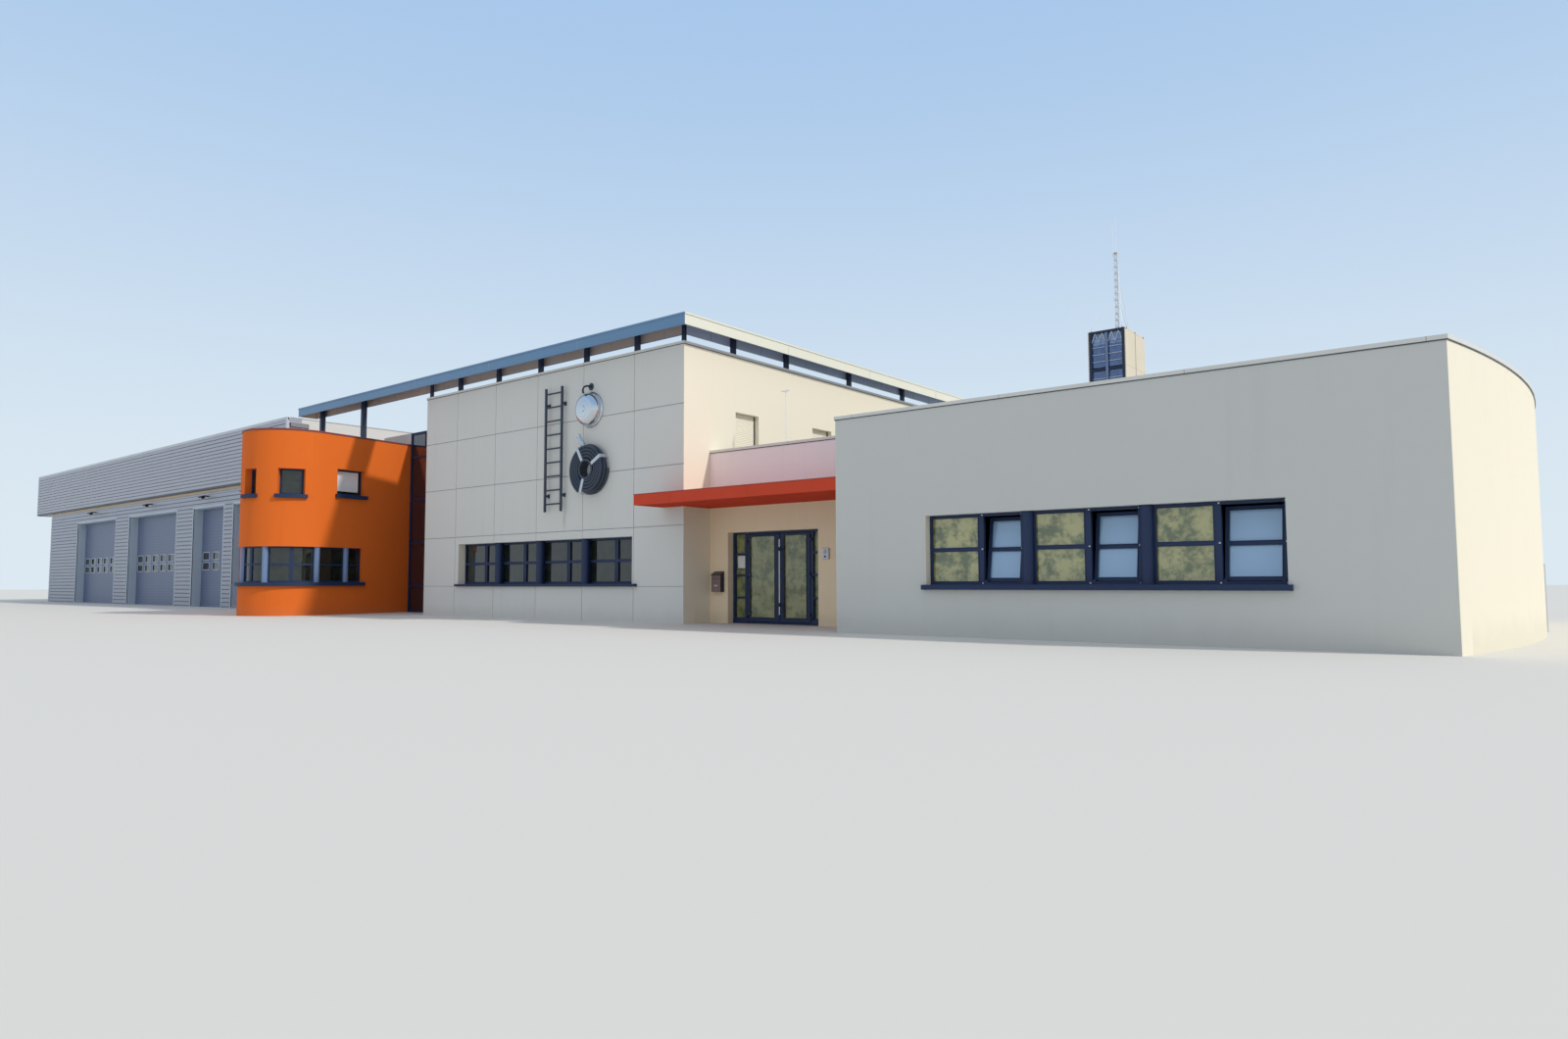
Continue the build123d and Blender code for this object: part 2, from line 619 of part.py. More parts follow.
def right_strip():
    """Strip of the right block: each bay has a fixed sash and one that is tilted in."""
    lap = COLUMN_R - COLUMN_LAP
    starts = [RIGHT_STRIP[0]] + [s + lap for s in RIGHT_COLUMNS]
    ends = [s - lap for s in RIGHT_COLUMNS] + [RIGHT_STRIP[1]]
    z0, z1 = right_sill, RIGHT_HEAD
    frames, panes = [column(right_front, s, z0, z1) for s in RIGHT_COLUMNS], []
    for s0, middle, s1 in zip(starts, RIGHT_MULLIONS, ends):
        frame, lights = grid(right_front, s0, middle, z0, z1, RIGHT_STRIP_SET, 1, 2)
        fixed = grid(right_front, middle, s1, z0, z1, RIGHT_STRIP_SET, 1, 1)[0]
        sash, sash_panes = tilted_sash(middle + BAR, s1 - BAR, z0 + BAR, z1 - BAR)
        frames += [frame, fixed, sash]
        panes += lights + sash_panes
    return fused(frames), panes


def tilted_sash(s0, s1, z0, z1):
    """Sash that leans into the room, with its two bottom pivots to the fixed frame."""
    depth = RIGHT_STRIP_SET + BAR_D + 1
    frame, panes = grid(Location(), s0 + SASH_GAP, s1 - SASH_GAP, 0, z1 - z0 - 2 * SASH_GAP, 0, 1, 2)
    hinge = right_front * Location((0, depth, z0 + SASH_GAP), (-TILT, 0, 0))
    frame = hinge * frame
    for s in (s0 + SASH_GAP, s1 - SASH_GAP - BAR):
        z = z0 + SASH_GAP + BAR / 2
        frame += on_face(right_front, s, s + BAR, RIGHT_STRIP_SET, depth + BAR_D / 2, z0 - BAR / 2, z)
    return frame, [hinge * pane for pane in panes]


def entry_walls():
    """Entrance wall in three pieces round the doorway."""
    y0, y1 = entry_y0, entry_y0 + WALL_T
    left = block(mid_x1, -OPENING_LEFT, y0, y1, 0, DOOR_HEAD)
    right = block(OPENING_RIGHT, RIGHT_X0, y0, y1, 0, DOOR_HEAD)
    over = block(mid_x1, RIGHT_X0, y0, y1, DOOR_HEAD, ENTRY_H - COPING_T)
    return left, right, over


def door_frame():
    """Fixed frame: jambs, header, threshold, two posts, sidelight bars and the lower hinge barrels."""
    outer = block(-OPENING_LEFT, OPENING_RIGHT, 0, FRAME_D, 0, DOOR_HEAD)
    z1 = DOOR_HEAD - HEADER_H
    left_post = -LEAF_LEFT_W - POST_W
    right_post = LEAF_RIGHT_W + POST_W
    frame = outer - block(-LEAF_LEFT_W, LEAF_RIGHT_W, -1, FRAME_D + 1, SLAB_T, z1)
    for x0, x1 in ((-OPENING_LEFT + JAMB_W, left_post), (right_post, OPENING_RIGHT - JAMB_W)):
        for bottom, top in sidelight_rows():
            frame -= block(x0, x1, -1, FRAME_D + 1, bottom, top)
    for z in HINGE_Z:
        frame += barrel(-hinge_x_left(), z, -1)
        frame += barrel(hinge_x_right(), z, 1)
    return frame


def sidelight_rows():
    """Bottom and top of each light beside the doors."""
    half = BAR / 2
    bottoms = [SLAB_T + LEAF_GAP + BOTTOM_RAIL_H] + [z + half for z in TRANSOM_Z]
    tops = [z - half for z in TRANSOM_Z] + [DOOR_HEAD - HEADER_H]
    return list(zip(bottoms, tops))


def sidelight_glass():
    """Panes beside the doors."""
    panes = []
    y = (FRAME_D - PANE_T) / 2
    left = (-OPENING_LEFT + JAMB_W, -LEAF_LEFT_W - POST_W)
    right = (LEAF_RIGHT_W + POST_W, OPENING_RIGHT - JAMB_W)
    for x0, x1 in (left, right):
        panes += [block(x0, x1, y, y + PANE_T, z0, z1) for z0, z1 in sidelight_rows()]
    return panes


def hinge_x_left():
    """Distance of the left hinge axis from the meeting line."""
    return LEAF_LEFT_W - LEAF_GAP / 2


def hinge_x_right():
    """Distance of the right hinge axis from the meeting line."""
    return LEAF_RIGHT_W - LEAF_GAP / 2


def hinge_y():
    """Hinge axis in front of the frame."""
    return -LEAF_PROUD - HINGE_OUT


def barrel(x, z, side):
    """Lower barrel of a hinge with its plate on the fixed post; side points to the post."""
    z0, z1 = z - HINGE_H / 2, z + HINGE_H / 2
    pin = rod((x, hinge_y(), z0), (x, hinge_y(), z1), HINGE_R, BARREL_SIDES)
    plate_x = sorted((x, x + side * HINGE_FOOT))
    return pin + block(plate_x[0], plate_x[1], hinge_y() - HINGE_R / 2, 0, z0, z1)


def leaf_barrel(x, z, side):
    """Upper barrel of a hinge with its plate on the leaf; side points to the leaf."""
    centre = z + HINGE_H + HINGE_GAP
    z0, z1 = centre - HINGE_H / 2, centre + HINGE_H / 2
    pin = rod((x, hinge_y(), z0), (x, hinge_y(), z1), HINGE_R, BARREL_SIDES)
    plate_x = sorted((x, x + side * HINGE_FOOT))
    return pin + block(plate_x[0], plate_x[1], hinge_y() - HINGE_R / 2, -LEAF_PROUD, z0, z1)


def leaf(x0, x1, stiles):
    """Door leaf between its gaps: frame and pane."""
    z0 = SLAB_T + LEAF_GAP
    z1 = DOOR_HEAD - HEADER_H - LEAF_GAP
    y0, y1 = -LEAF_PROUD, -LEAF_PROUD + LEAF_T
    gx0, gx1 = x0 + stiles[0], x1 - stiles[1]
    gz0, gz1 = z0 + BOTTOM_RAIL_H, z1 - TOP_RAIL_H
    frame = block(x0, x1, y0, y1, z0, z1) - block(gx0, gx1, y0 - 1, y1 + 1, gz0, gz1)
    pane_y = (y0 + y1 - PANE_T) / 2
    return frame, block(gx0, gx1, pane_y, pane_y + PANE_T, gz0, gz1)


def door_leaves():
    """Both leaves with their hinge barrels."""
    left, left_pane = leaf(-LEAF_LEFT_W + LEAF_GAP, -MEETING_GAP / 2, STILES_LEFT)
    right, right_pane = leaf(MEETING_GAP / 2, LEAF_RIGHT_W - LEAF_GAP, STILES_RIGHT)
    for z in HINGE_Z:
        left += leaf_barrel(-hinge_x_left(), z, 1)
        right += leaf_barrel(hinge_x_right(), z, -1)
    return left, left_pane, right, right_pane


def door_pull():
    """Tall pull bar on two standoffs on the right leaf."""
    y = -LEAF_PROUD - PULL_OUT
    x = PULL_X + MEETING_GAP / 2
    bar = rod((x, y, PULL_Z[0]), (x, y, PULL_Z[1]), PULL_R, BARREL_SIDES)
    for z in PULL_STANDOFF_Z:
        bar += rod((x, y, z), (x, -LEAF_PROUD, z), STANDOFF_R, BARREL_SIDES)
    return bar


def canopy_plan(inset):
    """Plan of the canopy: it wraps the middle block's corner."""
    x0 = mid_x1 - CANOPY_LEFT
    y0 = right_y0 + CANOPY_BACK
    return [
        (x0 + inset, y0 + inset),
        (RIGHT_X0 - inset, y0 + inset),
        (RIGHT_X0 - inset, entry_y0 - inset),
        (mid_x1 + inset, entry_y0 - inset),
        (mid_x1 + inset, front_y - inset),
        (x0 + inset, front_y - inset),
    ]


def canopy_frame():
    """Perimeter beams and the joists over the slats."""
    frame = prism(canopy_plan(0), CANOPY_Z0, CANOPY_Z1)
    frame -= prism(canopy_plan(CANOPY_BEAM), CANOPY_Z0 - 1, CANOPY_Z1 + 1)
    y0 = right_y0 + CANOPY_BACK + CANOPY_BEAM
    y1 = entry_y0 - CANOPY_BEAM
    span = RIGHT_X0 - mid_x1
    for k in range(JOIST_COUNT):
        x = mid_x1 + span * (k + 0.5) / JOIST_COUNT
        z0 = CANOPY_Z0 + SLAT_H
        frame += block(x - SLAT_T / 2, x + SLAT_T / 2, y0, y1, z0, CANOPY_Z1)
    return frame


def canopy_slats():
    """Slats under the canopy, along the fronts."""
    y0 = right_y0 + CANOPY_BACK + CANOPY_BEAM
    y1 = entry_y0 - CANOPY_BEAM
    count = int((y1 - y0) // SLAT_PITCH)
    slats = []
    for k in range(count):
        y = y0 + (k + 0.5) * (y1 - y0) / count
        outside = y + SLAT_T / 2 < front_y - CANOPY_BEAM
        x0 = (mid_x1 - CANOPY_LEFT if outside else mid_x1) + CANOPY_BEAM
        x1 = RIGHT_X0 - CANOPY_BEAM
        slats.append(block(x0, x1, y - SLAT_T / 2, y + SLAT_T / 2, CANOPY_Z0, CANOPY_Z0 + SLAT_H))
    return slats


def entry_boxes():
    """Letterbox with a sloping lid and the door intercom."""
    x0, x1 = LETTERBOX_X
    z0, z1 = LETTERBOX_Z
    y = entry_y0 - LETTERBOX_OUT
    side = [(entry_y0, z0), (y, z0), (y, z1 - LETTERBOX_SLOPE), (entry_y0, z1)]
    face = Face(Wire.make_polygon([(x0, v, z) for v, z in side], close=True))
    letterbox = extrude(face, amount=x1 - x0, dir=(1, 0, 0))
    return [letterbox, block(*INTERCOM_X, entry_y0 - INTERCOM_OUT, entry_y0, *INTERCOM_Z)]


def round_inside(z0, z1):
    """Slab that fills the round block between its walls."""
    inner_tangent = nose_point(nose_in, SIDE_LEAN)
    end_x = inner_tangent[0] - tan(radians(SIDE_LEAN)) * (link_y0 - inner_tangent[1])
    plan = [
        (nose_x - nose_in, nose_y),
        (nose_x - nose_in, front_y + NOSE_WALL),
        (HALL_X1, front_y + NOSE_WALL),
        (HALL_X1, link_y1 - NOSE_WALL),
        (LINK_X0, link_y1 - NOSE_WALL),
        (LINK_X0, link_y0),
        (end_x, link_y0),
        (inner_tangent[0], inner_tangent[1]),
    ]
    disc = Pos(nose_x, nose_y, (z0 + z1) / 2) * Cylinder(nose_in, z1 - z0)
    return prism(plan, z0, z1) + disc


def orange_nose_wall():
    """Half-round wall with the ribbon window and two upper windows cut through."""
    wall = sector(nose_in, NOSE_R, -180, SIDE_LEAN, 0, ROUND_H)
    z0 = RIBBON_Z[0] - ROUND_SILL_T
    wall -= sector(nose_in - 1, NOSE_R + 1, RIBBON_START, SIDE_LEAN + 1, z0, RIBBON_Z[1])
    for a0, a1 in NOSE_UPPER:
        z0 = NOSE_UPPER_Z[0] - ROUND_SILL_T
        wall -= sector(nose_in - 1, NOSE_R + 1, a0, a1, z0, NOSE_UPPER_Z[1])
    return wall


def orange_side_wall():
    """Straight wall from the nose to the link, with the end of the ribbon and one upper window."""
    length = (link_y0 - tangent_y) / cos(radians(SIDE_LEAN)) + NOSE_WALL
    wall = on_face(round_side, 0, length, 0, NOSE_WALL, 0, ROUND_H)
    wall -= block(LINK_X0 - NOSE_R, mid_x0, link_y0, link_y0 + NOSE_R, -1, ROUND_H + 1)
    z0 = RIBBON_Z[0] - ROUND_SILL_T
    wall -= on_face(round_side, -1, RIBBON_END, -1, NOSE_WALL + 1, z0, RIBBON_Z[1])
    z0 = SIDE_UPPER_Z[0] - ROUND_SILL_T
    return wall - on_face(round_side, *SIDE_UPPER, -1, NOSE_WALL + 1, z0, SIDE_UPPER_Z[1])


def orange_back_walls():
    """Left side of the nose, the front beside the hall and the rear."""
    x0, x1 = nose_x - NOSE_R, nose_x - nose_in
    return [
        block(x0, x1, nose_y, front_y + NOSE_WALL, 0, ROUND_H),
        block(HALL_X1, x0 - JOINT, front_y, front_y + NOSE_WALL, 0, ROUND_H),
        block(HALL_X1, LINK_X0, link_y1 - NOSE_WALL, link_y1, 0, ROUND_H),
    ]


def curved_light(a0, a1, z0, z1, set_back):
    """Curved opening and pane of one nose window light."""
    r1 = NOSE_R - set_back
    hole = sector(r1 - BAR_D - 1, r1 + 1, a0, a1, z0, z1)
    outer = r1 - (BAR_D - PANE_T) / 2
    return hole, sector(outer - PANE_T, outer, a0, a1, z0, z1)


def nose_ribbon():
    """Ribbon window: the curved stretch, the straight one and the columns."""
    z0, z1 = RIBBON_Z
    r1 = NOSE_R - RIBBON_SET
    frame = sector(r1 - BAR_D, r1, RIBBON_START, SIDE_LEAN, z0, z1)
    panes = []
    lap = NOSE_COLUMN_R - COLUMN_LAP
    middle = (z0 + z1) / 2
    for a0, a1 in ribbon_sashes(degrees(lap / r1)):
        for bottom, top in ((z0 + BAR, middle - BAR / 2), (middle + BAR / 2, z1 - BAR)):
            hole, pane = curved_light(a0 + BAR_TURN, a1 - BAR_TURN, bottom, top, RIBBON_SET)
            frame -= hole
            panes.append(pane)
    frames = [frame, column(round_side, SIDE_COLUMN, z0, z1, NOSE_COLUMN_R)]
    for angle in RIBBON_COLUMNS:
        x, y, _ = nose_point(NOSE_R - COLUMN_SET - NOSE_COLUMN_R, angle)
        frames.append(rod((x, y, z0), (x, y, z1), NOSE_COLUMN_R, COLUMN_SIDES))
    for s0, s1 in ((0, SIDE_COLUMN - lap), (SIDE_COLUMN + lap, RIBBON_END)):
        straight, lights = grid(round_side, s0, s1, z0, z1, RIBBON_SET, 1, 2)
        frames.append(straight)
        panes += lights
    return fused(frames), panes


def ribbon_sashes(lap):
    """Ends in degrees of each curved sash, between the joints and short of the columns' axes."""
    edges = [RIBBON_START, *RIBBON_JOINTS, RIBBON_COLUMNS[-1]]
    starts = [a + lap if a in RIBBON_COLUMNS else a for a in edges[:-1]]
    ends = [a - lap if a in RIBBON_COLUMNS else a for a in edges[1:]]
    return list(zip(starts, ends))


def orange_windows():
    """All frames and panes of the round block."""
    ribbon, panes = nose_ribbon()
    frames = [ribbon]
    z0, z1 = NOSE_UPPER_Z
    r1 = NOSE_R - ROUND_UPPER_SET
    for a0, a1 in NOSE_UPPER:
        frame = sector(r1 - BAR_D, r1, a0, a1, z0, z1)
        hole, pane = curved_light(a0 + BAR_TURN, a1 - BAR_TURN, z0 + BAR, z1 - BAR, ROUND_UPPER_SET)
        frames.append(frame - hole)
        panes.append(pane)
    side, side_panes = grid(round_side, *SIDE_UPPER, *SIDE_UPPER_Z, ROUND_UPPER_SET, 1, 1)
    return frames + [side], panes + side_panes


def link_walls():
    """Plain walls of the link."""
    y0, y1 = link_y0 + WALL_T + JOINT, link_y1 - WALL_T - JOINT
    return [
        block(LINK_X0, link_glass_x0, link_y0, link_y0 + WALL_T, 0, LINK_H),
        block(LINK_X0, LINK_X0 + WALL_T, y0, y1, 0, LINK_H),
        block(LINK_X0, mid_x0, link_y1 - WALL_T, link_y1, 0, LINK_H),
    ]


def link_glazing():
    """Glazed wall of the link: bars at the panel joints, one post and the panes."""
    frame = block(link_glass_x0, mid_x0, link_y0, link_y0 + BAR_D, 0, LINK_H)
    rows = [0.0] + joint_z + [LINK_H]
    middle = (link_glass_x0 + mid_x0) / 2
    half = LINK_BAR / 2
    panes = []
    for x0, x1 in ((link_glass_x0 + LINK_BAR, middle - half), (middle + half, mid_x0 - half)):
        for bottom, top in zip(rows, rows[1:]):
            z0 = bottom + (LINK_BAR if bottom == 0 else half)
            z1 = top - (LINK_BAR if top == LINK_H else half)
            frame -= block(x0, x1, link_y0 - 1, link_y0 + BAR_D + 1, z0, z1)
            y = link_y0 + (BAR_D - PANE_T) / 2
            panes.append(block(x0, x1, y, y + PANE_T, z0, z1))
    return frame, panes


def hall_doors_plan():
    """Left edge, width and count of lights of each hall door, from the right."""
    right = HALL_X1 - FIRST_PIER
    plan = []
    small, big = (SMALL_DOOR_W, SMALL_DOOR_LIGHTS), (BIG_DOOR_W, BIG_DOOR_LIGHTS)
    sizes = [(*small, SMALL_PIER), (*small, BIG_PIER), (*big, BIG_PIER), (*big, BIG_PIER)]
    for width, lights, pier in sizes:
        plan.append((right - width, width, lights))
        right -= width + pier
    return plan


def hall_front_wall():
    """Lower front of the hall with its four door openings."""
    wall = block(hall_x0, HALL_X1 - HALL_WALL, front_y, front_y + HALL_WALL, 0, BAND_Z)
    for x, width, _ in hall_doors_plan():
        wall -= block(x, x + width, front_y - 1, front_y + HALL_WALL + 1, -1, HALL_DOOR_H)
    return wall


def hall_front_band():
    """Upper front of the hall, proud of the lower one."""
    return block(band_x0, HALL_X1, front_y - BAND_OUT, front_y + HALL_WALL, BAND_Z, HALL_H)


def hall_right_wall():
    """Rendered side wall towards the round block."""
    x0 = HALL_X1 - HALL_WALL
    lower = block(x0, HALL_X1, front_y, hall_y1, 0, BAND_Z)
    return lower + block(x0, HALL_X1, front_y + HALL_WALL, hall_y1, BAND_Z, HALL_H)


def hall_back_walls():
    """Rear wall and the two left end walls of the hall."""
    x1 = HALL_X1 - HALL_WALL
    y0, y1 = front_y + HALL_WALL, hall_y1 - HALL_WALL
    rear = block(hall_x0, x1, y1, hall_y1, 0, BAND_Z) + block(band_x0, x1, y1, hall_y1, BAND_Z, HALL_H)
    lower = block(hall_x0, hall_x0 + HALL_WALL, y0, y1 - JOINT, 0, BAND_Z)
    upper = block(band_x0, band_x0 + HALL_WALL, y0, y1 - JOINT, BAND_Z, HALL_H)
    x0, z0 = band_x0 + HALL_WALL + JOINT, BAND_Z + JOINT
    soffit = block(x0, hall_x0 + HALL_WALL, y0, y1 - JOINT, z0, BAND_Z + SOFFIT_T)
    return [rear, lower, upper, soffit]


def hall_roof():
    """Roof deck of the hall."""
    top = HALL_H - PARAPET / 2
    x0, x1 = band_x0 + HALL_WALL, HALL_X1 - HALL_WALL
    return block(x0, x1, front_y + HALL_WALL, hall_y1 - HALL_WALL, top - ROOF_T, top)


def hall_door_linings():
    """Smooth lining of each door opening."""
    linings = []
    y1 = front_y + HALL_DOOR_SET + HALL_DOOR_T
    for x, width, _ in hall_doors_plan():
        lining = block(x, x + width, front_y, y1, 0, HALL_DOOR_H)
        inner = block(x + LINING_T, x + width - LINING_T, front_y - 1, y1 + 1, -1, HALL_DOOR_H - LINING_T)
        linings.append(lining - inner)
    return linings


def hall_doors():
    """Sectional doors with two rows of lights, and the panes."""
    doors, panes = [], []
    y0 = front_y + HALL_DOOR_SET
    y1 = y0 + HALL_DOOR_T
    pane_y = (y0 + y1 - PANE_T) / 2
    for x, width, lights in hall_doors_plan():
        door = block(x + LINING_T, x + width - LINING_T, y0, y1, 0, HALL_DOOR_H - LINING_T)
        pitch = (width - 2 * LIGHT_EDGE - LIGHT_W) / (lights - 1)
        for z in LIGHT_Z:
            lz0, lz1 = z - LIGHT_H / 2, z + LIGHT_H / 2
            for k in range(lights):
                lx0 = x + LIGHT_EDGE + k * pitch
                lx1 = lx0 + LIGHT_W
                door -= block(lx0, lx1, y0 - 1, y1 + 1, lz0, lz1)
                panes.append(block(lx0, lx1, pane_y, pane_y + PANE_T, lz0, lz1))
        doors.append(door)
    return doors, panes


def hall_fittings():
    """Floodlight over each hall door and the louvre on the side of the upper storey."""
    fittings = []
    half = LAMP_ARM_W / 2
    z = LAMP_Z + LAMP_ARM_UP
    for x, width, _ in hall_doors_plan():
        middle = x + width / 2
        arm = block(middle - half, middle + half, front_y - LAMP_ARM_L, front_y, z, z + LAMP_ARM_W)
        out = front_y - LAMP_ARM_L - LAMP_SIZE[2] / 2
        fittings.append(arm + Location((middle, out, LAMP_Z), (LAMP_TIP, 0, 0)) * Box(*LAMP_SIZE))
    y = front_y - BAND_OUT
    fittings.append(block(HALL_X1, HALL_X1 + LOUVRE_T, y + LOUVRE_Y[0], y + LOUVRE_Y[1], *LOUVRE_Z))
    return fittings


def roof_ring():
    """Flying roof: one length along the street front, one along the side towards the entrance."""
    x1 = mid_x1 + RING_SIDE_OUT
    y0 = front_y - RING_FRONT_OUT
    y1 = y0 + RING_FRONT_W
    z1 = RING_Z0 + RING_T
    return [
        block(x1 - RING_LEN, x1, y0, y1, RING_Z0, z1),
        block(x1 - RING_SIDE_W, x1, y1 + JOINT, y0 + RING_D, RING_Z0, z1),
    ]


def ring_post(x, y, z0, width):
    """Square post from z0 up to the flying roof."""
    half = width / 2
    return block(x - half, x + half, y - half, y + half, z0, RING_Z0)


def roof_ring_posts():
    """Posts of the flying roof: on the parapets, and two tall ones on the round block."""
    x, y = mid_x1 - RING_POST_IN, front_y + RING_POST_IN
    posts = [ring_post(corner, y, MID_H, RING_CORNER_POST) for corner in (x, mid_x0 + RING_POST_IN)]
    posts += [ring_post(joint, y, MID_H, RING_POST) for joint in joint_x]
    posts += [ring_post(x, front_y + step, MID_H, RING_POST) for step in RING_SIDE_POSTS]
    for step, foot in zip(RING_TALL_POSTS, (ROUND_H - ROUND_PARAPET, ROUND_H)):
        posts.append(ring_post(mid_x1 - step, y, foot, RING_TALL_POST))
    return posts


def tower_frame():
    """Open steel tower: posts, beams and landings."""
    x0, x1 = mid_x1, mid_x1 + TOWER_W - TOWER_PANEL_T
    y0, y1 = tower_y0, mid_y1 - TOWER_PANEL_T
    post = TOWER_POST
    frame = None
    middle = (x0 + x1) / 2
    spots = [(x0, y0), (x1 - post, y0), (x0, y1 - post), (x1 - post, y1 - post), (middle - post / 2, y0)]
    for x, y in spots:
        column = block(x, x + post, y, y + post, 0, TOWER_H)
        frame = column if frame is None else frame + column
    for z in TOWER_LANDINGS:
        frame += block(x0, x1, y0 + post / 2, y1, z - LANDING_T, z)
        frame += block(x0, x1, y0, y0 + TOWER_BEAM, z - TOWER_BEAM, z)
    frame += block(x0, x1, y0, y1, TOWER_H - TOWER_BEAM, TOWER_H)
    return frame


def tower_panels():
    """Cladding sheets on the tower's right and rear sides."""
    x1 = mid_x1 + TOWER_W
    y_mid = (tower_y0 + mid_y1) / 2
    t = TOWER_PANEL_T
    right_a = block(x1 - t, x1, tower_y0, y_mid - JOINT, 0, TOWER_H)
    right_b = block(x1 - t, x1, y_mid + JOINT, mid_y1, 0, TOWER_H)
    rear = block(mid_x1, x1 - t - JOINT, mid_y1 - t, mid_y1, 0, TOWER_H)
    left = block(mid_x1 - t, mid_x1, tower_y0, mid_y1, MID_H + JOINT, TOWER_H)
    return [right_a, right_b, rear, left]


def lattice_mast():
    """Three-legged lattice mast with its whips, its stays and their anchor plates."""
    x, y = mid_x1 + MAST_X, tower_y0 + MAST_Y
    feet = [(x - MAST_W / 2, y - MAST_W / 3), (x + MAST_W / 2, y - MAST_W / 3), (x, y + MAST_W * 2 / 3)]
    top = MAST_TOP + MAST_PLATE_T
    bars = [rod((x, y, MAST_TOP), (x, y, top), MAST_PLATE_R, MAST_PLATE_SIDES)]
    bars += [rod((fx, fy, TOWER_H), (fx, fy, MAST_TOP), MAST_BAR_R) for fx, fy in feet]
    bay = (MAST_TOP - TOWER_H - 2 * MAST_BAR_R) / MAST_BAYS
    for k in range(MAST_BAYS):
        z = TOWER_H + MAST_BAR_R + k * bay
        for a, b in zip(feet, feet[1:] + feet[:1]):
            bars.append(rod((*a, z), (*b, z + bay), MAST_BRACE_R, BRACE_SIDES))
    arm0, arm1 = MAST_TOP - WHIP_ARM[0], MAST_TOP - WHIP_ARM[1]
    bars.append(block(x - WHIP_OUT, x, y - MAST_BAR_R, y + MAST_BAR_R, arm0, arm1))
    half = MAST_W / 2
    bars.append(block(x - half, x + half, y - MAST_W / 3 - MAST_BAR_R, y + MAST_BAR_R, arm0, arm1))
    bars.append(rod((x - WHIP_OUT, y, arm0), (x - WHIP_OUT, y, WHIP_TOP), MAST_BAR_R))
    bars.append(rod((x, y, MAST_TOP), (x, y, MID_WHIP_TOP), MAST_BAR_R))
    return fused(bars + mast_stays(x, feet))


def mast_stays(x, feet):
    """Stays from the tower's head to the mast's legs, with their anchor plates."""
    inset = TOWER_POST / 2 + STAY_FOOT / 2
    anchors = [
        (mid_x1 + inset, tower_y0 + inset, feet[0]),
        (mid_x1 + TOWER_W - TOWER_PANEL_T - inset, tower_y0 + inset, feet[1]),
        (x, mid_y1 - TOWER_PANEL_T - inset, feet[2]),
    ]
    half = STAY_FOOT / 2
    stays = []
    for ax, ay, foot in anchors:
        stays.append(block(ax - half, ax + half, ay - half, ay + half, TOWER_H, TOWER_H + STAY_FOOT))
        stays += [rod((ax, ay, TOWER_H + half), (*foot, z), STAY_R) for z in STAY_HEADS]
    return stays


def roof_pole():
    """Thin pole with a cross bar on the entrance roof."""
    x, y = POLE_AT
    bar = Pos(x, y, POLE_TOP - POLE_BAR[2] / 2) * Box(*POLE_BAR)
    return rod((x, y, RIGHT_H - LOW_PARAPET), (x, y, POLE_TOP), POLE_R) + bar


def wall_relief():
    """Metal wall piece: a ladder on brackets, a hose reel and a bell."""
    x0, x1 = mid_x1 - RELIEF_X, mid_x1 - RELIEF_X + LADDER_W
    y = front_y - RELIEF_OUT
    top = RELIEF_Z + LADDER_H
    ladder = None
    for rail in (x0, x1 - RAIL_W):
        side = block(rail, rail + RAIL_W, y - RAIL_D / 2, y + RAIL_D / 2, RELIEF_Z, top)
        ladder = side if ladder is None else ladder + side
        for step in BRACKET_Z:
            z = RELIEF_Z + step
            ladder += block(rail, rail + RAIL_W, y, front_y, z, z + BRACKET_H)
    for k in range(RUNG_COUNT):
        z = RELIEF_Z + LADDER_H * (k + 0.5) / RUNG_COUNT
        ladder += block(x0 + RAIL_W, x1 - RAIL_W, y - RUNG_D / 2, y + RUNG_D / 2, z, z + RUNG_H)
    reel = RegularPolygon(REEL_R, REEL_SIDES) - RegularPolygon(REEL_HUB_R, REEL_SIDES)
    rim = on_wall(x0, BELL_AT)
    crown = rim.offset(BELL_T)
    ends = [rim * RegularPolygon(BELL_R, BELL_SIDES), crown * RegularPolygon(BELL_CROWN_R, BELL_SIDES)]
    bell = loft(ends, ruled=True)
    return [ladder, extrude(on_wall(x0, REEL_AT) * reel, amount=REEL_T), bell]


def on_wall(x0, at):
    """Plane on the wall piece's field that faces the street."""
    return Plane(origin=(x0 + at[0], front_y, RELIEF_Z + at[1]), x_dir=(1, 0, 0), z_dir=(0, -1, 0))


